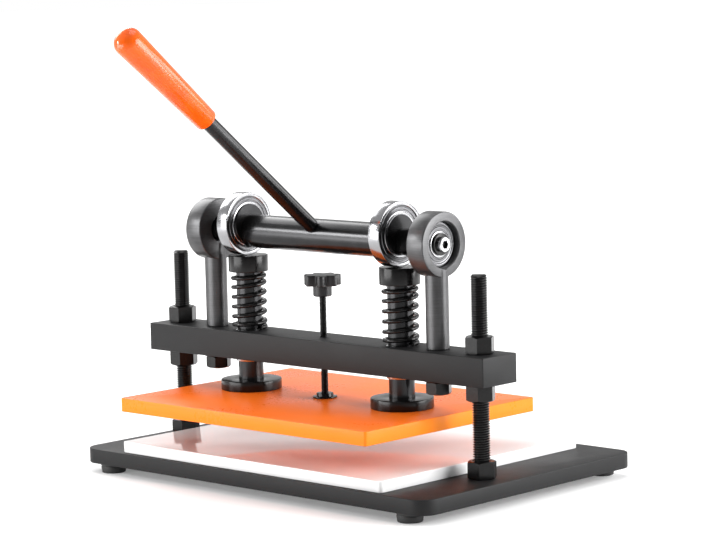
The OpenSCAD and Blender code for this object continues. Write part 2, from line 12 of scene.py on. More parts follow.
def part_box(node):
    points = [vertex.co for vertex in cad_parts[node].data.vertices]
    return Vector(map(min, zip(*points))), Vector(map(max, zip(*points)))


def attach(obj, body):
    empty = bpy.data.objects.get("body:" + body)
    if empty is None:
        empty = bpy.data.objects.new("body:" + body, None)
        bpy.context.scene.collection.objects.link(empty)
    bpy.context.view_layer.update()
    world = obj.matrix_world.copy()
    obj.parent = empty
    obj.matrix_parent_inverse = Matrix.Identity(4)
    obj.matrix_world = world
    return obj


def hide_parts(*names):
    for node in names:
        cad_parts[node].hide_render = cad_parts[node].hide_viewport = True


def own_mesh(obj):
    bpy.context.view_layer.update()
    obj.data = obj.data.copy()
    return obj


bl_info = {
    "name": "Die Cutting Press",
    "version": (1, 0, 0),
    "blender": (4, 5, 0),
    "location": "View3D > Sidebar > Press",
    "description": "Models the pieces and finishes of a manual die cutting press",
    "category": "Object",
}

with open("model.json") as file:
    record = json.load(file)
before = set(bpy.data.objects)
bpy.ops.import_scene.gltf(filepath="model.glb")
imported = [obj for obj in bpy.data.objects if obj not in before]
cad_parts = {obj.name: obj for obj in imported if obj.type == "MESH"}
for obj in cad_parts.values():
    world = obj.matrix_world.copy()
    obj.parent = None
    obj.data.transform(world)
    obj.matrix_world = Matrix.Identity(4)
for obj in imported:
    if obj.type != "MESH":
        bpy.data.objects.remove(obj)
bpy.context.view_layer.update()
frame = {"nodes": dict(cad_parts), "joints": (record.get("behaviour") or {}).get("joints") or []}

# Lengths in the modelling functions are millimetres, and Blender's are metres
MM = 0.001
SIDES = {"left": -1, "right": 1}
FULL_TURN = 2 * math.pi


def box(node):
    """Lowest and highest corner of a frame node, in millimetres."""
    return [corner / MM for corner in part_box(node)]


def joint(name):
    """A joint of the frame's record."""
    return next(j for j in frame["joints"] if j["name"] == name)


# Places and sizes read from the frame
BASE_LOW, BASE_HIGH = box("base_plate")
BOARD_LOW, BOARD_HIGH = box("cutting_board")
FEET_LOW, FEET_HIGH = box("rubber_feet")
FOOT_SCREW_TOP = box("foot_screws")[1].z
COLUMN_LOW, COLUMN_HIGH = box("right_column")
COLUMN_X = (COLUMN_LOW.x + COLUMN_HIGH.x) / 2
COLUMN_R = (COLUMN_HIGH.x - COLUMN_LOW.x) / 2
COLUMN_NUT_LOW, COLUMN_NUT_HIGH = box("upper_right_nut")
COLUMN_NUT_H = COLUMN_NUT_HIGH.z - COLUMN_NUT_LOW.z
COLUMN_NUT_AF = COLUMN_NUT_HIGH.y - COLUMN_NUT_LOW.y
BEAM_LOW, BEAM_HIGH = box("cross_beam")
POST_LOW, POST_HIGH = box("right_post")
POST_X = (POST_LOW.x + POST_HIGH.x) / 2
POST_R = (POST_HIGH.x - POST_LOW.x) / 2
HOUSING_R = POST_HIGH.y
POST_NUT_LOW, POST_NUT_HIGH = box("post_nuts")
POST_NUT_AF = 2 * POST_NUT_HIGH.y
POST_WASHER_LOW, POST_WASHER_HIGH = box("post_washers")
BUSH_LOW, BUSH_HIGH = box("guide_bushes")
BUSH_R = BUSH_HIGH.y
SPRING_LOW, SPRING_HIGH = box("right_spring")
SHAFT_Z = joint("lever_turn")["pos_m"][2] / MM
WHEEL_X = joint("right_wheel_spin")["pos_m"][0] / MM
WHEEL_Y = joint("right_wheel_spin")["pos_m"][1] / MM
WHEEL_Z = joint("right_wheel_spin")["pos_m"][2] / MM
WHEEL_LOW, WHEEL_HIGH = box("right_wheel_outer_ring")
WHEEL_R = (WHEEL_HIGH.y - WHEEL_LOW.y) / 2
WHEEL_W = WHEEL_HIGH.x - WHEEL_LOW.x
SLEEVE_HIGH = box("spacer_sleeves")[1]
END_BEARING_HIGH = box("end_bearing_outer_rings")[1]
END_BEARING_R = END_BEARING_HIGH.y
END_WASHER_HIGH = box("end_washers")[1]
END_BOLT_HIGH = box("end_bolts")[1]
PLATE_LOW, PLATE_HIGH = box("press_plate")
PLUNGER_LOW, PLUNGER_HIGH = box("right_plunger")
PLUNGER_R = PLUNGER_HIGH.y
COLLAR_LOW, COLLAR_HIGH = box("plunger_collars")
FLANGE_LOW, FLANGE_HIGH = box("plunger_flanges")
FLANGE_SCREW_LOW, FLANGE_SCREW_HIGH = box("flange_screws")
STOP_FOOT_LOW, STOP_FOOT_HIGH = box("stop_foot")
STOP_SCREW_LOW, STOP_SCREW_HIGH = box("stop_screw")
STOP_R = STOP_SCREW_HIGH.x
KNOB_LOW, KNOB_HIGH = box("stop_knob")

# Sizes that the frame's boxes don't give
FIT = 0.05
SCREW_ROOM = 0.5
BAR_BEVEL = 1
SCREW_BEVEL = 0.8
SCREW_SOCKET_AF = 4
WASHER_EDGE = 0.4
LIP_ROUND = 1.2

# Plates and feet
BASE_CORNER = 20
BOARD_CORNER = 4
PLATE_CORNER = 3
FOOT_R = 14
FOOT_TAPER = 1
FOOT_EDGE = 0.2
FOOT_RECESS_R = 6
FOOT_RECESS_DEPTH = 5.5
FOOT_GROOVE_LOW = 6.4
FOOT_GROOVE_HIGH = 8.2
FOOT_GROOVE_SLOPE = 0.5
FOOT_GROOVE_DEPTH = 0.9
# How far the groove's lips lie inside the foot's upper edge
FOOT_GROOVE_LOW_LIP = 0.4
FOOT_GROOVE_HIGH_LIP = 0.2

# Foot screws, with the radius and height of points over the head
FOOT_SCREW_R = 3
FOOT_HEAD_R = 5.5
FOOT_HEAD_LOW = 2
FOOT_HEAD_DOME = ((0, 0), (3.2, 0), (4.5, 0.35), (5.2, 1.1), (FOOT_HEAD_R, 2))
FOOT_SOCKET_DEPTH = 2

# Columns and nuts
COLUMN_BEVEL = 2
NUT_SINK = 1
NUT_FACE_SHARE = 0.96

# Posts, bushes and springs
POST_STUD_R = 8
HOUSING_W = 22
HOUSING_EDGE = 1.2
HOUSING_SHOULDER = 2
SHOULDER_GAP = 1.5
SEAT_LEAD = 1
BUSH_EDGE = 0.5
SPRING_END_GAP = 0.6

# Shaft and end bolts
SHAFT_R = 18
SHAFT_END_INSET = 0.3
SHAFT_END_BORE_R = 5
SHAFT_END_BORE_DEPTH = 22.5
SHOULDER_BEVEL = 0.4
SLEEVE_EDGE = 0.6
JOURNAL_R = 10
END_HEAD_R = 8
END_SOCKET_AF = 8
END_SOCKET_DEPTH = 3

# Bearings, with the shares of their section that the rings and balls take
WHEEL_BORE_R = 20
WHEEL_SHOULDER = 1.5
END_BEARING_W = 14
RING_SHARE = 0.3
BALL_SHARE = 0.6
RACE_GAP = 0.1
RACE_EDGE = 0.7
SHIELD_T = 0.8
SHIELD_INSET = 0.6
SHIELD_GAP = 0.3
SHIELD_LIP = 1
SHIELD_SLOPE = 0.5
SHIELD_RIM = 1.4
SHIELD_HEM = 0.6

# Press head
COLLAR_CAP = 5
FLANGE_SCREWS = 4
FLANGE_SCREW_CIRCLE = 23
FLANGE_SCREW_R = 3
FLANGE_SCREW_HEAD_R = 6
FLANGE_SOCKET_DEPTH = 2.2
FLANGE_HOLE_TOP = 56.5

# Stop screw and knob
STOP_BEVEL = 0.6
STOP_DISC_T = 1.5
STOP_HUB_R = 9
STOP_SOCKET = 2.5
STOP_PAD_EDGE = 0.35
KNOB_VALLEY = 6
KNOB_SWELL = 0.7
KNOB_EDGE = 1.2
KNOB_HUB_R = 10
KNOB_HUB_H = 11.5
KNOB_HUB_LAP = 2

# Lever, measured from the shaft's axis
LEVER_R = 8
LEVER_BEVEL = 1.2
LEVER_THREAD_R = 7
LEVER_THREAD_LAP = 1
LEVER_THREAD_BEVEL = 0.1
LEVER_PAST_AXIS = 8
LEVER_SHOULDER = 18.3
LEVER_END = 333
GRIP_START = 208
GRIP_LENGTH = 143
GRIP_INNER_R = 12
GRIP_TIP_R = 15
GRIP_DOME = 12

# Form of a thread, in shares of its pitch
THREAD_DEPTH = 0.61
ROOT_FLAT = 1 / 4
CREST_LOW = 9 / 16
CREST_HIGH = 11 / 16
# Where a thread is cut off, away from its rings of points, and the turns wound to spare for that
THREAD_START = 1.013
SPARE_TURNS = 2

# How far a cutter reaches past a face that it opens
PAST = 1
# Room for telling the faces of a socket from those round it
SOCKET_ROOM = 0.1
# Distances in metres at which points count as one and as lying on a cut
MERGE_DISTANCE = 1e-6
CUT_SLACK = 1e-7

# Steps round the pieces and along their curves
TURN_STEPS = 96
FINE_STEPS = 128
SMALL_STEPS = 72
BIT_STEPS = 64
SCREW_STEPS = 48
SMALL_SCREW_STEPS = 40
THREAD_STEPS = 32
STOP_THREAD_STEPS = 24
SPRING_STEPS = 40
SPRING_SIDES = 14
KNOB_STEPS_PER_LOBE = 20
CORNER_STEPS = 10
TRACK_STEPS = 10
DOME_STEPS = 12
LIP_STEPS = 2

# Angles in degrees, past which an edge is rounded or shaded as sharp
EDGE_ANGLE = 30
CORNER_ANGLE = 50
SMOOTH_ANGLE = 35
THREAD_SMOOTH = 25
SPRING_SMOOTH = 60


class PressSizes(bpy.types.PropertyGroup):
    """Sizes that can be changed without the frame."""

    plate_edge: FloatProperty(
        name="Plate Edge", description="Rounding along the edges of the flat plates",
        default=0.0009, unit="LENGTH",
    )
    turned_edge: FloatProperty(
        name="Turned Edge", description="Rounding along the edges of the turned pieces",
        default=0.0008, unit="LENGTH",
    )
    column_pitch: FloatProperty(
        name="Column Pitch", description="Thread pitch of the columns",
        default=0.0025, unit="LENGTH",
    )
    stop_pitch: FloatProperty(
        name="Stop Pitch", description="Thread pitch of the stop screw",
        default=0.00125, unit="LENGTH",
    )
    lever_pitch: FloatProperty(
        name="Lever Pitch", description="Thread pitch of the lever's screwed end",
        default=0.002, unit="LENGTH",
    )
    lever_angle: FloatProperty(
        name="Lever Angle", description="Rise of the lever at rest",
        default=math.radians(39), subtype="ANGLE",
    )
    spring_wire: FloatProperty(
        name="Spring Wire", description="Wire diameter of a return spring",
        default=0.0045, unit="LENGTH",
    )
    spring_turns: FloatProperty(name="Spring Turns", description="Turns of a return spring", default=6.5)
    knob_lobes: IntProperty(name="Knob Lobes", description="Lobes round the stop knob", default=7)


class PressColours(bpy.types.PropertyGroup):
    """Colours of the finishes, one for each material slot of the frame."""

    grey_paint: FloatVectorProperty(
        name="Grey Paint", description="Base plate and beam",
        default=(0.014, 0.014, 0.0145), subtype="COLOR",
    )
    orange_paint: FloatVectorProperty(
        name="Orange Paint", description="Press plate",
        default=(0.98, 0.17, 0.01), subtype="COLOR",
    )
    white_board: FloatVectorProperty(
        name="White Board", description="Cutting board",
        default=(0.86, 0.86, 0.86), subtype="COLOR",
    )
    rubber: FloatVectorProperty(
        name="Rubber", description="Feet",
        default=(0.016, 0.016, 0.016), subtype="COLOR",
    )
    black_steel: FloatVectorProperty(
        name="Black Steel", description="Columns, nuts, washers, springs, collars and flanges",
        default=(0.004, 0.004, 0.0043), subtype="COLOR",
    )
    black_post: FloatVectorProperty(
        name="Black Post", description="Bearing posts",
        default=(0.075, 0.075, 0.077), subtype="COLOR",
    )
    black_shaft: FloatVectorProperty(
        name="Black Shaft", description="Shaft, sleeves, plungers and lever rod",
        default=(0.032, 0.032, 0.033), subtype="COLOR",
    )
    bright_steel: FloatVectorProperty(
        name="Bright Steel", description="Guide bushes, foot screws and end bolts",
        default=(0.5, 0.5, 0.51), subtype="COLOR",
    )
    bearing_steel: FloatVectorProperty(
        name="Bearing Steel", description="Races and balls of the bearings",
        default=(0.33, 0.33, 0.34), subtype="COLOR",
    )
    shield_steel: FloatVectorProperty(
        name="Shield Steel", description="Shields and the outer races in the posts",
        default=(0.13, 0.13, 0.135), subtype="COLOR",
    )
    orange_grip: FloatVectorProperty(
        name="Orange Grip", description="Grip of the lever",
        default=(0.97, 0.12, 0.005), subtype="COLOR",
    )
    black_plastic: FloatVectorProperty(
        name="Black Plastic", description="Stop knob",
        default=(0.014, 0.014, 0.015), subtype="COLOR",
    )


def sizes():
    """The press's sizes in the panel."""
    return bpy.context.scene.press_sizes


def sized(name):
    """A length among the press's sizes, in millimetres."""
    return getattr(sizes(), name) / MM


# Modelling


def only(piece):
    """Make a piece the one selected and active object."""
    bpy.ops.object.select_all(action="DESELECT")
    piece.select_set(True)
    bpy.context.view_layer.objects.active = piece


def add(name, primitive, **size):
    """Add a primitive and name it."""
    bpy.ops.object.select_all(action="DESELECT")
    primitive(**size)
    piece = bpy.context.object
    piece.name = name
    piece.data.name = name
    return piece


@contextmanager
def edit(piece, mode="VERT"):
    """Edit mode on one piece, with all of it selected."""
    only(piece)
    bpy.ops.object.mode_set(mode="EDIT")
    bpy.ops.mesh.select_mode(type=mode)
    bpy.ops.mesh.select_all(action="SELECT")
    yield piece.data
    bpy.ops.object.mode_set(mode="OBJECT")


def select_edges(piece, wanted):
    """Select the edges whose two end points, in millimetres, answer to wanted."""
    with edit(piece, "EDGE"):
        bpy.ops.mesh.select_all(action="DESELECT")
    points = piece.data.vertices
    for edge in piece.data.edges:
        edge.select = wanted(*(points[i].co / MM for i in edge.vertices))


def apply(piece, modifier):
    """Apply a piece's modifier."""
    only(piece)
    bpy.ops.object.modifier_apply(modifier=modifier.name)


def close_up():
    """Merge the doubles of the mesh in edit mode and turn its faces outwards."""
    bpy.ops.mesh.select_all(action="SELECT")
    bpy.ops.mesh.remove_doubles(threshold=MERGE_DISTANCE)
    bpy.ops.mesh.normals_make_consistent(inside=False)


def drawn(name, profile):
    """A line through (radius, height) points in the XZ plane."""
    piece = add(name, bpy.ops.mesh.primitive_plane_add)
    with edit(piece):
        bpy.ops.mesh.merge(type="CENTER")
        bpy.ops.transform.translate(value=(profile[0][0] * MM, 0, profile[0][1] * MM))
        for (r, z), (next_r, next_z) in zip(profile, profile[1:]):
            step = {"value": ((next_r - r) * MM, 0, (next_z - z) * MM)}
            bpy.ops.mesh.extrude_vertices_move(TRANSFORM_OT_translate=step)
    return piece


def turned(name, profile, steps=TURN_STEPS):
    """A piece turned about Z from its profile of (radius, height) points."""
    piece = drawn(name, profile)
    with edit(piece):
        bpy.ops.mesh.spin(steps=steps, angle=FULL_TURN, center=(0, 0, 0), axis=(0, 0, 1))
        close_up()
    return piece


def ring(name, inner, outer, low, high, steps=TURN_STEPS):
    """A turned ring between two radii and two heights."""
    return turned(name, [(inner, low), (outer, low), (outer, high), (inner, high), (inner, low)], steps)


def round_edges(piece, width, segments=3, angle=EDGE_ANGLE):
    """Round the edges of a piece that are sharper than an angle."""
    bevel = piece.modifiers.new("edge", "BEVEL")
    bevel.width = width * MM
    bevel.segments = segments
    bevel.limit_method = "ANGLE"
    bevel.angle_limit = math.radians(angle)
    apply(piece, bevel)


def place(piece, at=(0, 0, 0), turn=(0, 0, 0)):
    """Turn and move a piece, and keep its place in its mesh."""
    only(piece)
    piece.rotation_euler = turn
    piece.location = Vector(at) * MM
    bpy.ops.object.transform_apply(location=True, rotation=True, scale=True)


def copy_of(piece, name):
    """A copy of a piece with its own mesh."""
    only(piece)
    bpy.ops.object.duplicate(linked=False)
    copy = bpy.context.object
    copy.name = name
    copy.data.name = name
    return copy


def remove(piece):
    """Delete a piece that is used up."""
    only(piece)
    bpy.ops.object.delete()


def join(piece, others):
    """Join other pieces into one."""
    only(piece)
    for other in others:
        other.select_set(True)
    bpy.ops.object.join()
    return piece


def combine(piece, other, operation):
    """Cut, add or intersect another piece, which is used up."""
    boolean = piece.modifiers.new("combine", "BOOLEAN")
    boolean.operation = operation
    boolean.solver = "EXACT"
    boolean.object = other
    apply(piece, boolean)
    remove(other)


def drill(piece, holes):
    """Cut round holes, each given by (x, y, radius, low, high)."""
    for x, y, radius, low, high in holes:
        size = {"vertices": BIT_STEPS, "radius": radius * MM, "depth": (high - low) * MM}
        bit = add("bit", bpy.ops.mesh.primitive_cylinder_add, **size)
        place(bit, (x, y, (low + high) / 2))
        combine(piece, bit, "DIFFERENCE")


def hexagon_corner(across_flats):
    """Distance of a hexagon's corners from its middle."""
    return across_flats / 2 / math.cos(math.radians(30))


def socket(piece, across_flats, low, high):
    """Cut a hexagon socket on the Z axis."""
    size = {"vertices": 6, "radius": hexagon_corner(across_flats) * MM, "depth": (high - low) * MM}
    bit = add("bit", bpy.ops.mesh.primitive_cylinder_add, **size)
    place(bit, (0, 0, (low + high) / 2))
    combine(piece, bit, "DIFFERENCE")


def plate(name, low, high, corner, edge):
    """A flat plate with rounded corners and edges."""
    piece = add(name, bpy.ops.mesh.primitive_cube_add, size=1)
    piece.scale = (high - low) * MM
    place(piece, (low + high) / 2)
    if corner:
        select_edges(piece, lambda a, b: abs(a.z - b.z) > edge)
        only(piece)
        bpy.ops.object.mode_set(mode="EDIT")
        bpy.ops.mesh.bevel(offset=corner * MM, segments=CORNER_STEPS, affect="EDGES")
        bpy.ops.object.mode_set(mode="OBJECT")
    round_edges(piece, edge)
    return piece


def threaded(name, radius, pitch, length, bevel, steps=THREAD_STEPS):
    """A rod on z = 0 with a thread along all of it and a bevel at its top."""
    root = radius - THREAD_DEPTH * pitch
    start = THREAD_START * pitch
    crest = [(radius, CREST_LOW * pitch), (radius, CREST_HIGH * pitch)]
    piece = drawn(name, [(root, 0), (root, ROOT_FLAT * pitch), *crest, (root, pitch)])
    wind = piece.modifiers.new("wind", "SCREW")
    wind.screw_offset = pitch * MM
    wind.iterations = math.ceil(length / pitch) + SPARE_TURNS
    wind.steps = wind.render_steps = steps
    apply(piece, wind)
    cuts = {"plane_no": (0, 0, 1), "use_fill": True, "threshold": CUT_SLACK}
    with edit(piece):
        bpy.ops.mesh.remove_doubles(threshold=MERGE_DISTANCE)
        bpy.ops.mesh.bisect(plane_co=(0, 0, start * MM), clear_inner=True, **cuts)
        bpy.ops.mesh.select_all(action="SELECT")
        bpy.ops.mesh.bisect(plane_co=(0, 0, (start + length) * MM), clear_outer=True, **cuts)
        close_up()
        bpy.ops.transform.translate(value=(0, 0, -start * MM))
    for vertex in piece.data.vertices:
        past = vertex.co.z / MM - (length - bevel)
        r = math.hypot(vertex.co.x, vertex.co.y) / MM
        if past > 0 and r > radius - past:
            vertex.co.xy *= (radius - past) / r
    return piece


def hex_nut(name, across_flats, bore, height):
    """A hexagon nut on z = 0 with bevelled corners and a countersunk bore."""
    corner = hexagon_corner(across_flats)
    face = across_flats / 2 * NUT_FACE_SHARE
    bevel = (corner - face) * math.tan(math.radians(30))
    size = {"vertices": 6, "radius": corner * MM, "depth": height * MM}
    nut = add(name, bpy.ops.mesh.primitive_cylinder_add, **size)
    place(nut, (0, 0, height / 2), (0, 0, math.radians(30)))
    outside = [(face, 0), (corner, bevel), (corner, height - bevel), (face, height)]
    mouth = bore + NUT_SINK
    inside = [(mouth, height), (bore, height - NUT_SINK), (bore, NUT_SINK), (mouth, 0)]
    barrel = turned("barrel", [*outside, *inside, outside[0]], SMALL_STEPS)
    combine(nut, barrel, "INTERSECT")
    return nut


def arc(centre_r, centre_z, radius, start, end, steps):
    """Points along an arc in the profile plane, angles in degrees."""
    turns = [math.radians(start + (end - start) * i / steps) for i in range(steps + 1)]
    return [(centre_r + radius * math.cos(a), centre_z + radius * math.sin(a)) for a in turns]


def bevelled_start(radius, low, bevel):
    """Profile of the lower end of a bar, bevelled round its edge."""
    return [(0, low), (radius - bevel, low), (radius, low + bevel)]


def bevelled_end(radius, high, bevel):
    """Profile of the upper end of a bar, bevelled round its edge."""
    return [(radius, high - bevel), (radius - bevel, high), (0, high)]


# Finishes

# Span that most values of a grain lie in
GRAIN_LOW = 0.3
GRAIN_HIGH = 0.7


class Finish:
    """The node tree of one finish, on Object coordinates."""

    def __init__(self, name):
        self.material = bpy.data.materials.new(name)
        self.material.use_nodes = True
        self.tree = self.material.node_tree
        self.shader = self.tree.nodes["Principled BSDF"]
        self.coordinates = self.tree.nodes.new("ShaderNodeTexCoord").outputs["Object"]

    def add(self, kind, values=None, **settings):
        """Add a node, with its settings and the values or links of its sockets."""
        node = self.tree.nodes.new(kind)
        for name, value in settings.items():
            setattr(node, name, value)
        for name, value in (values or {}).items():
            if isinstance(value, bpy.types.NodeSocket):
                self.tree.links.new(value, node.inputs[name])
            else:
                node.inputs[name].default_value = value
        return node

    def constant(self, **values):
        """Set the shader's own sockets, named with underscores for spaces."""
        for name, value in values.items():
            self.shader.inputs[name.replace("_", " ")].default_value = value

    def drive(self, socket_name, output):
        """Link an output to one of the shader's sockets."""
        self.tree.links.new(output, self.shader.inputs[socket_name])

    def noise(self, scale, detail, stretch=(1, 1, 1)):
        """Cloudy grain, with its spots squeezed along the axes of stretch."""
        mapping = self.add("ShaderNodeMapping", {"Vector": self.coordinates, "Scale": stretch})
        values = {"Vector": mapping.outputs[0], "Scale": scale, "Detail": detail}
        return self.add("ShaderNodeTexNoise", values).outputs["Fac"]

    def mixed(self, first, second, share):
        """Two grains mixed, by the share of the second."""
        values = {"Factor": share, "A": first, "B": second}
        return self.add("ShaderNodeMix", values).outputs["Result"]

    def between(self, grain, low, high):
        """A grain spread between two values."""
        values = {"Value": grain, "From Min": GRAIN_LOW, "From Max": GRAIN_HIGH}
        return self.add("ShaderNodeMapRange", {**values, "To Min": low, "To Max": high}).outputs["Result"]

    def shades(self, grain, dark, light):
        """Two colours mixed by a grain."""
        ramp = self.add("ShaderNodeValToRGB", {"Fac": grain})
        ends = zip(ramp.color_ramp.elements, (dark, light), (GRAIN_LOW, GRAIN_HIGH))
        for element, colour, position in ends:
            element.color = (*colour, 1)
            element.position = position
        return ramp.outputs["Color"]

    def by_slope(self, upright, level):
        """One colour on upright faces and another on level ones."""
        normal = self.tree.nodes.new("ShaderNodeTexCoord").outputs["Normal"]
        height = self.add("ShaderNodeSeparateXYZ", {"Vector": normal}).outputs["Z"]
        size = self.add("ShaderNodeMath", operation="ABSOLUTE")
        self.tree.links.new(height, size.inputs[0])
        mix = self.add("ShaderNodeMix", data_type="RGBA")
        self.tree.links.new(size.outputs[0], mix.inputs["Factor"])
        for name, colour in (("A", upright), ("B", level)):
            entry = [item for item in mix.inputs if item.name == name and item.type == "RGBA"][0]
            if isinstance(colour, bpy.types.NodeSocket):
                self.tree.links.new(colour, entry)
            else:
                entry.default_value = (*colour, 1)
        return [item for item in mix.outputs if item.type == "RGBA"][0]

    def bump(self, height, strength, depth):
        """Height of the surface, with its depth in millimetres."""
        values = {"Height": height, "Strength": strength, "Distance": depth * MM}
        self.drive("Normal", self.add("ShaderNodeBump", values).outputs["Normal"])


def tint(colour, *factors):
    """A colour with each channel multiplied by its own factor."""
    return tuple(min(1, channel * factor) for channel, factor in zip(colour, factors))


def shade(colour, factor):
    """A colour made darker or lighter."""
    return tint(colour, factor, factor, factor)


def grey_paint(finish, colour):
    """Satin powder coat with a fine sand texture."""
    sand = finish.noise(scale=1500, detail=2)
    cloud = finish.noise(scale=30, detail=4)
    grain = finish.mixed(sand, cloud, share=0.45)
    finish.drive("Base Color", finish.shades(grain, shade(colour, 0.8), shade(colour, 1.2)))
    finish.drive("Roughness", finish.between(grain, low=0.42, high=0.58))
    finish.bump(sand, strength=0.35, depth=0.12)
    finish.constant(Specular_IOR_Level=0.2)


# How much paler the press plate's upright sides are painted than its top: painted light, for sides lit more
# strongly than the top
SIDE_LIGHT_PALER = 1.5


def orange_paint(finish, colour):
    """Glossy enamel with a slight orange peel, and painted light that makes its upright sides paler than
    its top.
    """
    peel = finish.noise(scale=260, detail=2)
    cloud = finish.noise(scale=14, detail=4)
    face = finish.shades(cloud, tint(colour, 0.96, 0.88, 1), tint(colour, 1.02, 1.1, 1.4))
    # Painted light: the upright sides get a paler, yellower colour than the level top
    edge = tint(colour, 1, SIDE_LIGHT_PALER, SIDE_LIGHT_PALER)
    finish.drive("Base Color", finish.by_slope(edge, face))
    finish.drive("Roughness", finish.between(finish.mixed(cloud, peel, share=0.4), low=0.24, high=0.36))
    finish.bump(peel, strength=0.03, depth=0.05)
    finish.constant(Specular_IOR_Level=0.15)


def white_board(finish, colour):
    """Polished white sheet with faint scuffs from use."""
    cloud = finish.noise(scale=18, detail=5)
    scuff = finish.noise(scale=60, detail=4, stretch=(1, 14, 1))
    finish.drive("Base Color", finish.shades(cloud, shade(colour, 0.97), shade(colour, 1.02)))
    finish.drive("Roughness", finish.between(finish.mixed(cloud, scuff, share=0.6), low=0.03, high=0.09))
    finish.bump(scuff, strength=0.04, depth=0.05)


def rubber(finish, colour):
    """Matt moulded rubber."""
    grit = finish.noise(scale=900, detail=3)
    cloud = finish.noise(scale=70, detail=3)
    grain = finish.mixed(grit, cloud, share=0.5)
    finish.drive("Base Color", finish.shades(grain, shade(colour, 0.7), shade(colour, 1.5)))
    finish.drive("Roughness", finish.between(grain, low=0.5, high=0.72))
    finish.bump(grit, strength=0.3, depth=0.1)


def black_steel(finish, colour):
    """Oiled black oxide with cloudy patches and fine machining grain."""
    cloud = finish.noise(scale=120, detail=4)
    grain = finish.noise(scale=1100, detail=3)
    warm = tint(colour, 1.5, 1.35, 1.25)
    finish.drive("Base Color", finish.shades(cloud, shade(colour, 0.7), warm))
    finish.drive("Roughness", finish.between(finish.mixed(cloud, grain, share=0.5), low=0.14, high=0.28))
    finish.bump(grain, strength=0.1, depth=0.04)
    finish.constant(Specular_IOR_Level=0.28)


def black_post(finish, colour):
    """Satin blackened steel with turning marks along its height."""
    cloud = finish.noise(scale=60, detail=4)
    lines = finish.noise(scale=40, detail=4, stretch=(1, 1, 30))
    grain = finish.mixed(cloud, lines, share=0.5)
    finish.drive("Base Color", finish.shades(grain, shade(colour, 0.75), shade(colour, 1.3)))
    finish.drive("Roughness", finish.between(grain, low=0.28, high=0.42))
    finish.bump(lines, strength=0.06, depth=0.03)
    finish.constant(Metallic=0.7)


def black_shaft(finish, colour):
    """Polished blackened steel with fine rings from the lathe."""
    cloud = finish.noise(scale=70, detail=4)
    rings = finish.noise(scale=60, detail=4, stretch=(40, 1, 1))
    grain = finish.mixed(cloud, rings, share=0.5)
    finish.drive("Base Color", finish.shades(grain, shade(colour, 0.8), shade(colour, 1.2)))
    finish.drive("Roughness", finish.between(grain, low=0.16, high=0.28))
    finish.bump(rings, strength=0.06, depth=0.03)
    finish.constant(Metallic=0.9)


def bright_steel(finish, colour):
    """Ground steel with fine rings."""
    cloud = finish.noise(scale=80, detail=4)
    rings = finish.noise(scale=50, detail=4, stretch=(1, 1, 45))
    grain = finish.mixed(cloud, rings, share=0.6)
    finish.drive("Base Color", finish.shades(grain, shade(colour, 0.88), shade(colour, 1.08)))
    finish.drive("Roughness", finish.between(grain, low=0.12, high=0.24))
    finish.bump(rings, strength=0.05, depth=0.03)
    finish.constant(Metallic=1)


def bearing_steel(finish, colour):
    """Polished bearing steel with hair lines round its rim."""
    cloud = finish.noise(scale=90, detail=4)
    lines = finish.noise(scale=60, detail=3, stretch=(60, 1, 1))
    grain = finish.mixed(cloud, lines, share=0.5)
    finish.drive("Base Color", finish.shades(grain, shade(colour, 0.92), shade(colour, 1.06)))
    finish.drive("Roughness", finish.between(grain, low=0.12, high=0.22))
    finish.bump(lines, strength=0.03, depth=0.02)
    finish.constant(Metallic=1)


def shield_steel(finish, colour):
    """Pressed satin sheet."""
    cloud = finish.noise(scale=110, detail=4)
    grain = finish.noise(scale=1600, detail=2)
    both = finish.mixed(cloud, grain, share=0.5)
    finish.drive("Base Color", finish.shades(both, shade(colour, 0.85), shade(colour, 1.1)))
    finish.drive("Roughness", finish.between(both, low=0.14, high=0.28))
    finish.bump(grain, strength=0.06, depth=0.03)
    finish.constant(Metallic=1)


def orange_grip(finish, colour):
    """Glossy dipped vinyl with a faint ripple."""
    ripple = finish.noise(scale=140, detail=2)
    cloud = finish.noise(scale=35, detail=3)
    deep, pale = tint(colour, 0.95, 0.85, 1), tint(colour, 1.03, 1.15, 1.5)
    finish.drive("Base Color", finish.shades(cloud, deep, pale))
    finish.drive("Roughness", finish.between(finish.mixed(cloud, ripple, share=0.5), low=0.12, high=0.22))
    finish.bump(ripple, strength=0.05, depth=0.08)
    finish.constant(Specular_IOR_Level=0.4)


def black_plastic(finish, colour):
    """Moulded plastic with a fine spark texture."""
    spark = finish.noise(scale=1300, detail=2)
    cloud = finish.noise(scale=90, detail=3)
    grain = finish.mixed(spark, cloud, share=0.5)
    finish.drive("Base Color", finish.shades(grain, shade(colour, 0.75), shade(colour, 1.4)))
    finish.drive("Roughness", finish.between(grain, low=0.3, high=0.45))
    finish.bump(spark, strength=0.2, depth=0.06)
    finish.constant(Specular_IOR_Level=0.35)


FINISHES = {
    make.__name__: make
    for make in (
        grey_paint, orange_paint, white_board, rubber, black_steel, black_post, black_shaft,
        bright_steel, bearing_steel, shield_steel, orange_grip, black_plastic,
    )
}
made_finishes = {}


def finish_of(slot):
    """The material of a slot, made once."""
    if slot not in made_finishes:
        finish = Finish(slot)
        FINISHES[slot](finish, tuple(getattr(bpy.context.scene.press_colours, slot)))
        made_finishes[slot] = finish.material
    return made_finishes[slot]


def dress(piece, body, slot, *nodes, smooth=SMOOTH_ANGLE):
    """Shade a finished piece, give it its finish and set it on its body in place of its nodes."""
    only(piece)
    bpy.ops.object.shade_smooth_by_angle(angle=math.radians(smooth))
    piece.data.materials.clear()
    piece.data.materials.append(finish_of(slot))
    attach(piece, body)
    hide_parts(*nodes)


def also(piece, slot, test):
    """Give a second finish to the faces that pass a test."""
    piece.data.materials.append(finish_of(slot))
    for face in piece.data.polygons:
        if test(face):
            face.material_index = 1


def dress_node(node, slot):
    """Give a frame node that stays its finish."""
    target = frame["nodes"][node]
    target.data.materials.clear()
    target.data.materials.append(finish_of(slot))


# Setting pieces in place

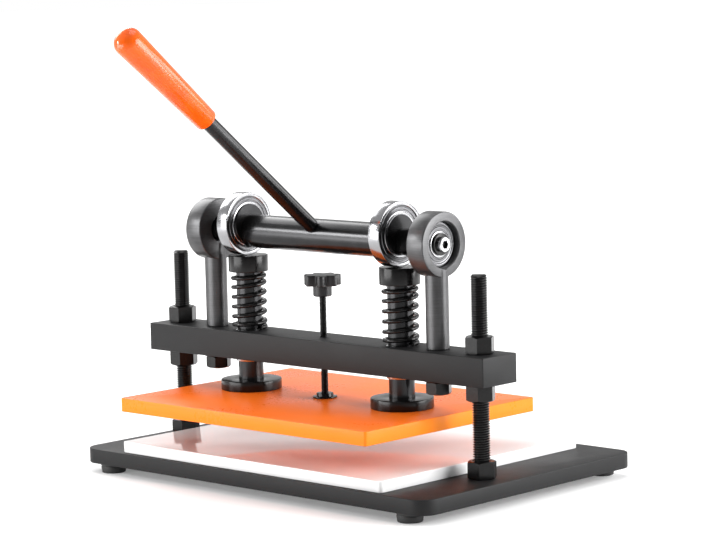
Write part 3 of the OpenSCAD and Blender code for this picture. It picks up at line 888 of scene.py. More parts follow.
SHAFT_LINE = (0, SHAFT_Z)
WHEEL_LINE = (WHEEL_Y, WHEEL_Z)
# Endings of the names and facings of pieces that both faces of a bearing have
BOTH_FACES = (("_outside", 1), ("_inside", -1))


def both_sides(model, word, x, z=0, left_turn=0):
    """Use up a model for a left and a right copy, and give each copy with the name of its side."""
    for name, side in SIDES.items():
        piece = copy_of(model, f"{name}_{word}")
        place(piece, (side * x, 0, z), (0, 0, left_turn if side < 0 else 0))
        yield name, piece
    remove(model)


def along_shaft(piece, facing, x, line=SHAFT_LINE):
    """Turn a piece from +Z onto +X or -X and set it on the line of the shaft or of the wheels."""
    place(piece, (x, *line), (0, facing * math.radians(90), 0))


def both_ends(model, word, x=0, line=SHAFT_LINE, faces=(("", 1),)):
    """Use up a model for copies on both sides of the shaft, and give each with the name of its side."""
    for name, side in SIDES.items():
        for ending, facing in faces:
            piece = copy_of(model, f"{name}_{word}{ending}")
            along_shaft(piece, side * facing, side * x, line)
            yield name, piece
    remove(model)


def along_lever(piece):
    """Turn a piece from +Z onto the lever's line and set it on the shaft's axis."""
    place(piece, (0, 0, SHAFT_Z), (math.radians(90) - sizes().lever_angle, 0, 0))


# Base

FOOT_NAMES = ("front_left", "front_right", "back_left", "back_right")


def foot_places():
    """Middles of the feet, in the order of their names."""
    across = (FEET_LOW.x + FOOT_R, FEET_HIGH.x - FOOT_R)
    along = (FEET_LOW.y + FOOT_R, FEET_HIGH.y - FOOT_R)
    return [(x, y) for y in along for x in across]


def set_at_feet(model, word, slot, node):
    """Use up a model for a copy at each foot."""
    for name, (x, y) in zip(FOOT_NAMES, foot_places()):
        piece = copy_of(model, f"{name}_{word}")
        place(piece, (x, y, FEET_LOW.z))
        dress(piece, "base", slot, node)
    remove(model)


def make_base_plate():
    piece = plate("rounded_base_plate", BASE_LOW, BASE_HIGH, BASE_CORNER, sized("plate_edge"))
    low, high = BASE_LOW.z - PAST, BASE_HIGH.z + PAST
    screw_top = FOOT_SCREW_TOP + SCREW_ROOM
    holes = [(side * COLUMN_X, 0, COLUMN_R + FIT, low, high) for side in SIDES.values()]
    holes += [(x, y, FOOT_SCREW_R + FIT, low, screw_top) for x, y in foot_places()]
    drill(piece, holes)
    dress(piece, "base", "grey_paint", "base_plate")


def make_cutting_board():
    piece = plate("polished_cutting_board", BOARD_LOW, BOARD_HIGH, BOARD_CORNER, sized("plate_edge"))
    dress(piece, "base", "white_board", "cutting_board")


def make_rubber_feet():
    height = FEET_HIGH.z - FEET_LOW.z
    bore = FOOT_SCREW_R + FIT
    recess = [(bore, FOOT_RECESS_DEPTH), (FOOT_RECESS_R, FOOT_RECESS_DEPTH), (FOOT_RECESS_R, 0)]
    rim = arc(FOOT_R - FOOT_TAPER - LIP_ROUND, LIP_ROUND, LIP_ROUND, -90, 0, LIP_STEPS)
    low, high, slope = FOOT_GROOVE_LOW, FOOT_GROOVE_HIGH, FOOT_GROOVE_SLOPE
    floor = FOOT_R - FOOT_GROOVE_DEPTH
    groove_low = [(FOOT_R - FOOT_GROOVE_LOW_LIP, low), (floor, low + slope)]
    groove_high = [(floor, high - slope), (FOOT_R - FOOT_GROOVE_HIGH_LIP, high)]
    top = [(FOOT_R, height), (bore, height), recess[0]]
    foot = turned("foot", [*recess, *rim, *groove_low, *groove_high, *top], SMALL_STEPS)
    round_edges(foot, FOOT_EDGE, segments=2)
    set_at_feet(foot, "rubber_foot", "rubber", "rubber_feet")


def make_foot_screws():
    head = FOOT_HEAD_LOW
    dome = [(r, head + z) for r, z in FOOT_HEAD_DOME]
    shoulder = [(FOOT_HEAD_R, FOOT_RECESS_DEPTH), (FOOT_SCREW_R, FOOT_RECESS_DEPTH)]
    end = bevelled_end(FOOT_SCREW_R, FOOT_SCREW_TOP - FEET_LOW.z, SCREW_BEVEL)
    screw = turned("screw", [*dome, *shoulder, *end], SCREW_STEPS)
    socket(screw, SCREW_SOCKET_AF, head - PAST, head + FOOT_SOCKET_DEPTH)
    set_at_feet(screw, "foot_screw", "bright_steel", "foot_screws")


# Columns


def make_columns():
    length = COLUMN_HIGH.z - COLUMN_LOW.z
    rod = threaded("rod", COLUMN_R, sized("column_pitch"), length, COLUMN_BEVEL)
    for name, piece in both_sides(rod, "threaded_column", COLUMN_X, COLUMN_LOW.z):
        dress(piece, "base", "black_steel", name + "_column", smooth=THREAD_SMOOTH)


def make_column_nuts():
    nut = hex_nut("nut", COLUMN_NUT_AF, COLUMN_R + FIT, COLUMN_NUT_H)
    for name, side in SIDES.items():
        piece = copy_of(nut, name + "_base_nut")
        place(piece, (side * COLUMN_X, 0, BASE_HIGH.z))
        dress(piece, "base", "black_steel", "base_nuts")
        for level in ("upper", "lower"):
            node = f"{level}_{name}_nut"
            piece = copy_of(nut, f"{level}_{name}_column_nut")
            place(piece, (side * COLUMN_X, 0, box(node)[0].z))
            dress(piece, node, "black_steel", node)
    remove(nut)


# Beam and bearing posts


def make_cross_beam():
    piece = plate("drilled_cross_beam", BEAM_LOW, BEAM_HIGH, 0, sized("plate_edge"))
    radii = {COLUMN_X: COLUMN_R, POST_X: POST_STUD_R, WHEEL_X: BUSH_R}
    holes = [(side * x, 0, r + FIT) for side in SIDES.values() for x, r in radii.items()]
    holes.append((0, 0, STOP_R + FIT))
    drill(piece, [(*hole, BEAM_LOW.z - PAST, BEAM_HIGH.z + PAST) for hole in holes])
    dress(piece, "crosshead", "grey_paint", "cross_beam")


def make_bearing_posts():
    edge = sized("turned_edge")
    stud = [*bevelled_start(POST_STUD_R, POST_LOW.z, BAR_BEVEL), (POST_STUD_R, BEAM_HIGH.z)]
    bar = [(POST_R - edge, BEAM_HIGH.z), (POST_R, BEAM_HIGH.z + edge), (POST_R, SHAFT_Z), (0, SHAFT_Z)]
    post = turned("post", [*stud, *bar])
    half = HOUSING_W / 2
    drum = [(0, -half), (HOUSING_R, -half), (HOUSING_R, half), (0, half)]
    housing = turned("housing", drum, FINE_STEPS)
    round_edges(housing, HOUSING_EDGE)
    along_shaft(housing, 1, 0)
    combine(post, housing, "UNION")
    seat, hole = END_BEARING_R, SLEEVE_HIGH.y + SHOULDER_GAP
    past, step = half + PAST, HOUSING_SHOULDER - half
    mouth = [(0, past), (seat + SEAT_LEAD + PAST, past), (seat, half - SEAT_LEAD)]
    shoulder = [(seat, step), (hole, step), (hole, -past), (0, -past)]
    cutter = turned("cutter", [*mouth, *shoulder], FINE_STEPS)
    along_shaft(cutter, 1, 0)
    combine(post, cutter, "DIFFERENCE")
    for name, piece in both_sides(post, "bearing_post", POST_X, left_turn=math.pi):
        dress(piece, "crosshead", "black_post", name + "_post")


def make_post_fasteners():
    bore = POST_STUD_R + FIT
    nut = hex_nut("nut", POST_NUT_AF, bore, POST_NUT_HIGH.z - POST_NUT_LOW.z)
    for _, piece in both_sides(nut, "post_nut", POST_X, POST_NUT_LOW.z):
        dress(piece, "crosshead", "black_steel", "post_nuts")
    washer = ring("washer", bore, POST_WASHER_HIGH.y, POST_WASHER_LOW.z, POST_WASHER_HIGH.z)
    round_edges(washer, WASHER_EDGE, segments=2)
    for _, piece in both_sides(washer, "post_washer", POST_X):
        dress(piece, "crosshead", "black_steel", "post_washers")


def make_guide_bushes():
    bush = ring("bush", PLUNGER_R + FIT, BUSH_R, BUSH_LOW.z, BUSH_HIGH.z)
    round_edges(bush, BUSH_EDGE, segments=2)
    for _, piece in both_sides(bush, "guide_bush", WHEEL_X):
        dress(piece, "crosshead", "bright_steel", "guide_bushes")


def make_springs():
    wire, turns = sized("spring_wire"), sizes().spring_turns
    length = SPRING_HIGH.z - SPRING_LOW.z
    rise = length - wire
    end_pitch = wire + SPRING_END_GAP
    mid_pitch = (rise - 2 * end_pitch) / (turns - 2)
    radius = SPRING_HIGH.y - wire / 2

    def height(turn):
        """Rise of the wire after a number of turns, closer at the two end turns."""
        ends = min(turn, 1) + max(turn - (turns - 1), 0)
        return ends * end_pitch + min(max(turn - 1, 0), turns - 2) * mid_pitch

    size = {"vertices": SPRING_SIDES, "radius": wire / 2 * MM}
    spring = add("spring", bpy.ops.mesh.primitive_circle_add, **size)
    place(spring, (radius, 0, 0), (math.radians(90), 0, 0))
    steps = round(SPRING_STEPS * turns)
    wind = spring.modifiers.new("wind", "SCREW")
    wind.angle = FULL_TURN * turns
    wind.screw_offset = rise * MM
    wind.steps = wind.render_steps = steps
    apply(spring, wind)
    for vertex in spring.data.vertices:
        share = vertex.index // SPRING_SIDES / steps
        vertex.co.z += (height(share * turns) - share * rise + SPRING_LOW.z + wire / 2) * MM
    with edit(spring):
        bpy.ops.mesh.select_all(action="DESELECT")
        bpy.ops.mesh.select_non_manifold()
        bpy.ops.mesh.fill()
        close_up()
    for name, piece in both_sides(spring, "return_spring", WHEEL_X):
        dress(piece, "crosshead", "black_steel", name + "_spring", smooth=SPRING_SMOOTH)
        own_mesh(piece)


# Bearings


def race(bore, outer, width, inside):
    """An inner or outer bearing ring with its groove, about Z and centred on z = 0."""
    section = outer - bore
    thickness, half = section * RING_SHARE, width / 2
    groove = section * BALL_SHARE / 2 + RACE_GAP
    pitch = (outer + bore) / 2
    shoulder = bore + thickness if inside else outer - thickness
    reach = math.degrees(math.acos(abs(shoulder - pitch) / groove))
    middle = 180 if inside else 0
    track = arc(pitch, 0, groove, middle - reach, middle + reach, TRACK_STEPS)
    if inside:
        track.reverse()
    back = bore if inside else outer
    profile = [(back, -half), (shoulder, -half), *track, (shoulder, half), (back, half), (back, -half)]
    piece = turned("race", profile, FINE_STEPS)
    round_edges(piece, RACE_EDGE, angle=CORNER_ANGLE)
    return piece


def shield(bore, outer, width):
    """A pressed shield with a raised middle, below the +Z face of its bearing."""
    thickness = (outer - bore) * RING_SHARE
    low_r, high_r = bore + thickness + SHIELD_GAP, outer - thickness
    top = width / 2 - SHIELD_INSET
    back, low = top - SHIELD_T, top - SHIELD_T / 2
    crown_r, rim_r = low_r + SHIELD_LIP, high_r - SHIELD_RIM
    lip = [(low_r, low), (crown_r, low)]
    crown = [(crown_r + SHIELD_SLOPE, top), (rim_r - SHIELD_SLOPE, top)]
    rim = [(rim_r, low), (high_r - SHIELD_HEM, low), (high_r, top)]
    return turned("shield", [*lip, *crown, *rim, (high_r, back), (low_r, back), lip[0]], FINE_STEPS)


def make_end_bearings():
    bearing = (JOURNAL_R, END_BEARING_R, END_BEARING_W)
    x = END_BEARING_HIGH.x - END_BEARING_W / 2
    for _, piece in both_ends(race(*bearing, inside=False), "end_outer_race", x):
        dress(piece, "crosshead", "shield_steel", "end_bearing_outer_rings")
    for _, piece in both_ends(race(*bearing, inside=True), "end_inner_race", x):
        dress(piece, "eccentric_shaft", "bearing_steel", "end_bearing_inner_rings")
    for _, piece in both_ends(shield(*bearing), "end_shield", x, faces=BOTH_FACES):
        dress(piece, "crosshead", "shield_steel", "end_bearing_shields")
    dress_node("end_bearing_balls", "bearing_steel")


WHEEL_BEARING = (WHEEL_BORE_R, WHEEL_R, WHEEL_W)


def make_wheels():
    outer = race(*WHEEL_BEARING, inside=False)
    for name, piece in both_ends(outer, "wheel_outer_race", WHEEL_X, WHEEL_LINE):
        dress(piece, name + "_wheel", "bearing_steel", name + "_wheel_outer_ring")
    cover = shield(*WHEEL_BEARING)
    for name, piece in both_ends(cover, "wheel_shield", WHEEL_X, WHEEL_LINE, BOTH_FACES):
        dress(piece, name + "_wheel", "shield_steel", name + "_wheel_shields")
    for name in SIDES:
        dress_node(name + "_wheel_balls", "bearing_steel")


def make_wheel_inner_races():
    inner = race(*WHEEL_BEARING, inside=True)
    for _, piece in both_ends(inner, "wheel_inner_race", WHEEL_X, WHEEL_LINE):
        dress(piece, "eccentric_shaft", "bearing_steel", "wheel_inner_rings")


# Shaft and lever

WHEEL_INNER_X = WHEEL_X - WHEEL_W / 2
WHEEL_OUTER_X = WHEEL_X + WHEEL_W / 2


def wheel_journal():
    """Profile of the eccentric journal under a wheel, with the shoulder beside it."""
    low, lip = WHEEL_INNER_X - WHEEL_SHOULDER, WHEEL_BORE_R + WHEEL_SHOULDER
    shoulder = [*bevelled_start(lip, low, SHOULDER_BEVEL), (lip, WHEEL_INNER_X)]
    return [*shoulder, (WHEEL_BORE_R, WHEEL_INNER_X), (WHEEL_BORE_R, WHEEL_OUTER_X), (0, WHEEL_OUTER_X)]


def end_journal():
    """Profile of the shaft's end in its bearing, with the bore for the end bolt."""
    low, high = WHEEL_INNER_X - WHEEL_SHOULDER, END_BEARING_HIGH.x - SHAFT_END_INSET
    bore_r, bore_low = SHAFT_END_BORE_R + FIT, END_BEARING_HIGH.x - SHAFT_END_BORE_DEPTH
    neck = [(0, low), (JOURNAL_R, low), (JOURNAL_R, high - BAR_BEVEL), (JOURNAL_R - BAR_BEVEL, high)]
    return [*neck, (bore_r, high), (bore_r, bore_low), (0, bore_low)]


def make_shaft():
    start = bevelled_start(SHAFT_R, -WHEEL_INNER_X, BAR_BEVEL)
    end = bevelled_end(SHAFT_R, WHEEL_INNER_X, BAR_BEVEL)
    shaft = turned("eccentric_shaft_bar", [*start, *end], FINE_STEPS)
    along_shaft(shaft, 1, 0)
    journals = ((wheel_journal(), WHEEL_LINE, FINE_STEPS), (end_journal(), SHAFT_LINE, TURN_STEPS))
    for side in SIDES.values():
        for profile, line, steps in journals:
            journal = turned("journal", profile, steps)
            along_shaft(journal, side, 0, line)
            combine(shaft, journal, "UNION")
    hole_r, top = LEVER_THREAD_R + FIT, 2 * SHAFT_R
    low = -LEVER_PAST_AXIS - SCREW_ROOM
    bit = turned("bit", [(0, low), (hole_r, low), (hole_r, top), (0, top)], BIT_STEPS)
    along_lever(bit)
    combine(shaft, bit, "DIFFERENCE")
    dress(shaft, "eccentric_shaft", "black_shaft", "main_shaft")


def make_spacer_sleeves():
    sleeve = ring("sleeve", JOURNAL_R, SLEEVE_HIGH.y, WHEEL_OUTER_X, SLEEVE_HIGH.x)
    round_edges(sleeve, SLEEVE_EDGE)
    for _, piece in both_ends(sleeve, "spacer_sleeve"):
        dress(piece, "eccentric_shaft", "black_shaft", "spacer_sleeves")


def make_end_washers():
    bore = SHAFT_END_BORE_R + FIT
    washer = ring("washer", bore, END_WASHER_HIGH.y, END_BEARING_HIGH.x, END_WASHER_HIGH.x)
    round_edges(washer, WASHER_EDGE)
    for _, piece in both_ends(washer, "end_washer"):
        dress(piece, "eccentric_shaft", "black_steel", "end_washers")


def in_socket(face):
    """Whether a face lies inside the hexagon socket of an end bolt."""
    x, y, z = face.center / MM
    depth = END_BOLT_HIGH.x - abs(x)
    near = math.hypot(y, z - SHAFT_Z) < hexagon_corner(END_SOCKET_AF) + SOCKET_ROOM
    return near and SOCKET_ROOM < depth < END_SOCKET_DEPTH + SOCKET_ROOM


def make_end_bolts():
    low = END_BEARING_HIGH.x - SHAFT_END_BORE_DEPTH + SCREW_ROOM
    head_low, head_top = END_WASHER_HIGH.x, END_BOLT_HIGH.x
    shank = [*bevelled_start(SHAFT_END_BORE_R, low, BAR_BEVEL), (SHAFT_END_BORE_R, head_low)]
    head = [(END_HEAD_R, head_low), *bevelled_end(END_HEAD_R, head_top, SCREW_BEVEL)]
    bolt = turned("bolt", [*shank, *head], SMALL_STEPS)
    socket(bolt, END_SOCKET_AF, head_top - END_SOCKET_DEPTH, head_top + PAST)
    for _, piece in both_ends(bolt, "end_bolt"):
        dress(piece, "eccentric_shaft", "bright_steel", "end_bolts")
        # Painted shade: the faces inside the socket take the black steel finish, to darken the recess
        also(piece, "black_steel", in_socket)


def make_lever_rod():
    start = bevelled_start(LEVER_R, LEVER_SHOULDER, LEVER_BEVEL)
    end = bevelled_end(LEVER_R, LEVER_END, LEVER_BEVEL)
    rod = turned("threaded_lever_rod", [*start, *end])
    length = LEVER_SHOULDER + LEVER_THREAD_LAP + LEVER_PAST_AXIS
    screw = threaded("screw", LEVER_THREAD_R, sized("lever_pitch"), length, LEVER_THREAD_BEVEL)
    place(screw, (0, 0, -LEVER_PAST_AXIS))
    join(rod, [screw])
    along_lever(rod)
    dress(rod, "eccentric_shaft", "black_shaft", "lever_rod")


def make_lever_grip():
    bottom = LEVER_END - GRIP_START
    taper_end = GRIP_LENGTH - GRIP_DOME
    lip = arc(GRIP_INNER_R - LIP_ROUND, LIP_ROUND, LIP_ROUND, -90, 0, LIP_STEPS)
    turns = [math.radians(90 * i / DOME_STEPS) for i in range(DOME_STEPS)]
    dome = [(GRIP_TIP_R * math.cos(a), taper_end + GRIP_DOME * math.sin(a)) for a in turns]
    inside = [(0, bottom), (LEVER_R, bottom), (LEVER_R, 0)]
    grip = turned("moulded_lever_grip", [*inside, *lip, *dome, (0, GRIP_LENGTH)])
    place(grip, (0, 0, GRIP_START))
    along_lever(grip)
    dress(grip, "eccentric_shaft", "orange_grip", "lever_grip")


# Press head


def flange_screw_places(side):
    """Middles of the screws round a plunger, or round the origin for side 0."""
    turns = [FULL_TURN * (i + 0.5) / FLANGE_SCREWS for i in range(FLANGE_SCREWS)]
    r = FLANGE_SCREW_CIRCLE
    return [(side * WHEEL_X + r * math.cos(a), r * math.sin(a)) for a in turns]


def make_press_plate():
    piece = plate("enamelled_press_plate", PLATE_LOW, PLATE_HIGH, PLATE_CORNER, sized("plate_edge"))
    shank, head = FLANGE_SCREW_R + FIT, FLANGE_SCREW_HEAD_R + FIT
    low, top = PLATE_LOW.z, PLATE_HIGH.z + PAST
    cone = [(0, low - PAST), (head + PAST, low - PAST), (shank, low + head - shank)]
    for side in SIDES.values():
        for x, y in flange_screw_places(side):
            bit = turned("bit", [*cone, (shank, top), (0, top)], SMALL_SCREW_STEPS)
            place(bit, (x, y, 0))
            combine(piece, bit, "DIFFERENCE")
    dress(piece, "press_head", "orange_paint", "press_plate")


def make_plungers():
    start = bevelled_start(PLUNGER_R, PLUNGER_LOW.z, BAR_BEVEL)
    end = bevelled_end(PLUNGER_R, PLUNGER_HIGH.z, BAR_BEVEL)
    plunger = turned("plunger", [*start, *end])
    for name, piece in both_sides(plunger, "guide_plunger", WHEEL_X):
        dress(piece, "press_head", "black_shaft", name + "_plunger")


def make_collars():
    inner, outer = PLUNGER_R + FIT, COLLAR_HIGH.y
    low, high = COLLAR_LOW.z, COLLAR_HIGH.z
    cap = high - COLLAR_CAP
    profile = [(0, cap), (inner, cap), (inner, low), (outer, low), (outer, high), (0, high)]
    collar = turned("collar", profile)
    round_edges(collar, sized("turned_edge"))
    for _, piece in both_sides(collar, "plunger_collar", WHEEL_X):
        dress(piece, "press_head", "black_steel", "plunger_collars")


def make_flanges():
    low, high = FLANGE_LOW.z, FLANGE_HIGH.z
    flange = ring("flange", PLUNGER_R + FIT, FLANGE_HIGH.y, low, high, FINE_STEPS)
    round_edges(flange, sized("turned_edge"))
    hole = (FLANGE_SCREW_R + FIT, low - PAST, FLANGE_HOLE_TOP)
    drill(flange, [(x, y, *hole) for x, y in flange_screw_places(0)])
    for _, piece in both_sides(flange, "plunger_flange", WHEEL_X):
        dress(piece, "press_head", "black_steel", "plunger_flanges")


def make_flange_screws():
    low, high = FLANGE_SCREW_LOW.z, FLANGE_SCREW_HIGH.z
    r, head_r = FLANGE_SCREW_R, FLANGE_SCREW_HEAD_R
    head = [(0, low), (head_r, low), (r, low + head_r - r)]
    screw = turned("screw", [*head, *bevelled_end(r, high, SCREW_BEVEL)], SMALL_SCREW_STEPS)
    socket(screw, SCREW_SOCKET_AF, low - PAST, low + FLANGE_SOCKET_DEPTH)
    for name, side in SIDES.items():
        for count, (x, y) in enumerate(flange_screw_places(side), 1):
            piece = copy_of(screw, f"{name}_flange_screw_{count}")
            place(piece, (x, y, 0))
            dress(piece, "press_head", "black_steel", "flange_screws")
    remove(screw)


# Stop screw


def make_stop_foot():
    low, high = STOP_FOOT_LOW.z, STOP_FOOT_HIGH.z
    disc_r, disc_top = STOP_FOOT_HIGH.x, low + STOP_DISC_T
    hole_r, hole_low = STOP_R + FIT, high - STOP_SOCKET
    hub = [(0, hole_low), (hole_r, hole_low), (hole_r, high), (STOP_HUB_R, high), (STOP_HUB_R, disc_top)]
    piece = turned("stop_pad_disc", [*hub, (disc_r, disc_top), (disc_r, low), (0, low)])
    round_edges(piece, STOP_PAD_EDGE, segments=2)
    dress(piece, "stop_pad", "black_steel", "stop_foot")


def make_stop_screw():
    pitch, length = sized("stop_pitch"), STOP_SCREW_HIGH.z - STOP_SCREW_LOW.z
    piece = threaded("threaded_stop_screw", STOP_R, pitch, length, STOP_BEVEL, STOP_THREAD_STEPS)
    place(piece, (0, 0, STOP_SCREW_LOW.z))
    dress(piece, "stop_spindle", "black_steel", "stop_screw", smooth=THREAD_SMOOTH)


def make_star_knob():
    lobes = sizes().knob_lobes
    hub_low, top = KNOB_LOW.z, KNOB_HIGH.z
    head_low = hub_low + KNOB_HUB_H
    outer = KNOB_HIGH.x
    valley = outer - KNOB_VALLEY
    size = {"vertices": lobes * KNOB_STEPS_PER_LOBE, "radius": outer * MM, "fill_type": "NGON"}
    head = add("star_knob", bpy.ops.mesh.primitive_circle_add, **size)
    place(head, (0, 0, head_low))
    for vertex in head.data.vertices:
        angle = math.atan2(vertex.co.y, vertex.co.x)
        swell = (0.5 + 0.5 * math.cos(lobes * angle)) ** KNOB_SWELL
        vertex.co.xy *= (valley + (outer - valley) * swell) / outer
    with edit(head):
        rise = {"value": (0, 0, (top - head_low) * MM)}
        bpy.ops.mesh.extrude_region_move(TRANSFORM_OT_translate=rise)
        close_up()
    round_edges(head, KNOB_EDGE, segments=4, angle=CORNER_ANGLE)
    hub_top = head_low + KNOB_HUB_LAP
    hub = [*bevelled_start(KNOB_HUB_R, hub_low, BAR_BEVEL), (KNOB_HUB_R, hub_top), (0, hub_top)]
    combine(head, turned("hub", hub, SMALL_STEPS), "UNION")
    drill(head, [(0, 0, STOP_R, hub_low - PAST, STOP_SCREW_HIGH.z)])
    dress(head, "stop_spindle", "black_plastic", "stop_knob")


# Stage

IMAGE_WIDTH = 716
VIEW_AZIMUTH = math.radians(43.383)
VIEW_ELEVATION = math.radians(6.434)
VIEW_ROLL = math.radians(1.314)
VIEW_DISTANCE = 2.843563
VIEW_RIGHT = 0.038055
VIEW_UP = 0.221864
VIEW_REACH = 50
FOCAL_PIXELS = 2668.405
SENSOR_WIDTH = 36
BENCH_Z = FEET_LOW.z * MM


def make_camera():
    """A camera at the photograph's place, whose aim is measured from the bench."""
    a, e = VIEW_AZIMUTH, VIEW_ELEVATION
    right = Vector((math.cos(a), math.sin(a), 0))
    back = Vector((math.sin(a) * math.cos(e), -math.cos(a) * math.cos(e), math.sin(e)))
    up = back.cross(right)
    c, s = math.cos(VIEW_ROLL), math.sin(VIEW_ROLL)
    axes = Matrix((c * right - s * up, s * right + c * up, back)).transposed()
    location = VIEW_RIGHT * right + VIEW_UP * up + VIEW_DISTANCE * back + Vector((0, 0, BENCH_Z))
    bpy.ops.object.camera_add(location=location, rotation=axes.to_euler())
    camera = bpy.context.object
    camera.name = "press_camera"
    camera.data.sensor_width = SENSOR_WIDTH
    camera.data.lens = FOCAL_PIXELS / IMAGE_WIDTH * SENSOR_WIDTH
    camera.data.clip_end = VIEW_REACH
    bpy.context.scene.camera = camera


# Strength of the white and of the dim side of the studio, and of the dim side's horizon
WORLD_LEVEL = 0.7
ROOM_LEVEL = 0.1
HORIZON_DIM = 0.6
# Shares of upwards and of away from the camera in what is white, and the span of the change
WHITE_UPWARDS = 0.66
WHITE_AWAY = 0.75
WHITE_SPAN = (-0.35, 0.45)
HORIZON_SPAN = (0.02, 0.12)
# Paint of the floor, its share left on the dim side and where it fades
FLOOR_SIZE = 60
FLOOR_ROUGHNESS = 0.9
FLOOR_WHITE = 0.8
FLOOR_DIM = 0.45
FLOOR_SPAN = (0.5, 1.2)
# Glow of the floor, near the press and far from it
GLOW_NEAR = 0.2
GLOW_FAR = 0.85
GLOW_SPAN = (0.5, 1.8)
TOWARDS_CAMERA = Vector((math.sin(VIEW_AZIMUTH), -math.cos(VIEW_AZIMUTH), 0))


def along(tree, coordinates, direction):
    """How far a point or a direction lies along another direction."""
    node = tree.nodes.new("ShaderNodeVectorMath")
    node.operation = "DOT_PRODUCT"
    tree.links.new(coordinates, node.inputs[0])
    node.inputs[1].default_value = direction
    return node.outputs["Value"]


def distance(tree, coordinates):
    """How far a point lies from the middle of the floor."""
    node = tree.nodes.new("ShaderNodeVectorMath")
    node.operation = "LENGTH"
    tree.links.new(coordinates, node.inputs[0])
    return node.outputs["Value"]


def graded(tree, value, span, low, high):
    """A smooth change from low to high while a value runs through its span."""
    node = tree.nodes.new("ShaderNodeMapRange")
    node.interpolation_type = "SMOOTHSTEP"
    tree.links.new(value, node.inputs["Value"])
    for name, number in zip(("From Min", "From Max", "To Min", "To Max"), (*span, low, high)):
        node.inputs[name].default_value = number
    return node.outputs["Result"]


def combined(tree, operation, first, second):
    """Two values put together by a maths node."""
    node = tree.nodes.new("ShaderNodeMath")
    node.operation = operation
    for value, entry in zip((first, second), node.inputs):
        if isinstance(value, (int, float)):
            entry.default_value = value
        else:
            tree.links.new(value, entry)
    return node.outputs[0]


def make_world():
    """A studio that is white behind and above the press and dim behind the camera."""
    world = bpy.data.worlds.new("studio")
    world.use_nodes = True
    tree = world.node_tree
    lighting = tree.nodes["Background"]
    lighting.inputs["Color"].default_value = (1, 1, 1, 1)
    coordinates = tree.nodes.new("ShaderNodeTexCoord").outputs["Generated"]
    facing = along(tree, coordinates, Vector((0, 0, WHITE_UPWARDS)) - WHITE_AWAY * TOWARDS_CAMERA)
    level = graded(tree, facing, WHITE_SPAN, ROOM_LEVEL, WORLD_LEVEL)
    height = along(tree, coordinates, (0, 0, 1))
    level = combined(tree, "MULTIPLY", level, graded(tree, height, HORIZON_SPAN, 1 / WORLD_LEVEL, 1))
    level = combined(tree, "MAXIMUM", level, graded(tree, height, HORIZON_SPAN, HORIZON_DIM, 0))
    tree.links.new(level, lighting.inputs["Strength"])
    bpy.context.scene.world = world


def make_floor():
    """A white floor that keeps the shadow and falls off to the dim side of the studio."""
    floor = add("studio_floor", bpy.ops.mesh.primitive_plane_add, size=FLOOR_SIZE, location=(0, 0, BENCH_Z))
    material = bpy.data.materials.new("white_floor")
    material.use_nodes = True
    tree = material.node_tree
    shader = tree.nodes["Principled BSDF"]
    shader.inputs["Roughness"].default_value = FLOOR_ROUGHNESS
    shader.inputs["Specular IOR Level"].default_value = 0
    shader.inputs["Emission Color"].default_value = (1, 1, 1, 1)
    coordinates = tree.nodes.new("ShaderNodeTexCoord").outputs["Object"]
    white = graded(tree, along(tree, coordinates, TOWARDS_CAMERA), FLOOR_SPAN, 1, FLOOR_DIM)
    tree.links.new(combined(tree, "MULTIPLY", white, FLOOR_WHITE), shader.inputs["Base Color"])
    path = tree.nodes.new("ShaderNodeLightPath").outputs
    seen = combined(tree, "MAXIMUM", path["Is Camera Ray"], path["Is Glossy Ray"])
    seen = combined(tree, "MAXIMUM", seen, path["Is Transmission Ray"])
    glow = graded(tree, distance(tree, coordinates), GLOW_SPAN, GLOW_NEAR, GLOW_FAR)
    glow = combined(tree, "MULTIPLY", combined(tree, "MULTIPLY", glow, white), seen)
    tree.links.new(glow, shader.inputs["Emission Strength"])
    floor.data.materials.append(material)


LAMP_AIM = Vector((0, 0.02, 0.1))
# Each lamp's name, place, width, height and power
LAMPS = (
    ("left_box", (-0.66, -1.45, 0.22), 1.4, 0.5, 15),
    ("left_upper_box", (-1.1, -1.16, 0.72), 0.35, 0.3, 9),
    ("left_high_box", (-1.5, 0.3, 1.2), 1.4, 0.9, 20),
    ("right_box", (1.52, 0.755, 0.5), 1.1, 0.9, 34),
    ("top_box", (0.1, 0.1, 2.2), 1.5, 1.2, 13),
    ("back_box", (0.8, 1.45, 0.6), 0.9, 0.45, 7),
)


def make_lamps():
    """Soft boxes turned to the middle of the press."""
    for name, location, width, height, power in LAMPS:
        turn = (LAMP_AIM - Vector(location)).to_track_quat("-Z", "Y").to_euler()
        bpy.ops.object.light_add(type="AREA", location=location, rotation=turn)
        lamp = bpy.context.object
        lamp.name = name
        lamp.data.shape = "RECTANGLE"
        lamp.data.size = width
        lamp.data.size_y = height
        lamp.data.energy = power


def make_stage():
    bpy.context.scene.view_settings.view_transform = "Standard"
    make_camera()
    make_world()
    make_floor()
    make_lamps()


# Add-on


class PRESS_OT_base(bpy.types.Operator):
    """Model the base plate with its drilled holes"""

    bl_idname = "press.base"
    bl_label = "Base Plate"

    def execute(self, context):
        make_base_plate()
        return {"FINISHED"}


class PRESS_OT_board(bpy.types.Operator):
    """Model the white cutting board"""

    bl_idname = "press.board"
    bl_label = "Cutting Board"

    def execute(self, context):
        make_cutting_board()
        return {"FINISHED"}


class PRESS_OT_feet(bpy.types.Operator):
    """Model the rubber feet and their screws"""

    bl_idname = "press.feet"
    bl_label = "Feet"

    def execute(self, context):
        make_rubber_feet()
        make_foot_screws()
        return {"FINISHED"}


class PRESS_OT_columns(bpy.types.Operator):
    """Model the threaded columns and the nuts on them"""

    bl_idname = "press.columns"
    bl_label = "Columns"

    def execute(self, context):
        make_columns()
        make_column_nuts()
        return {"FINISHED"}


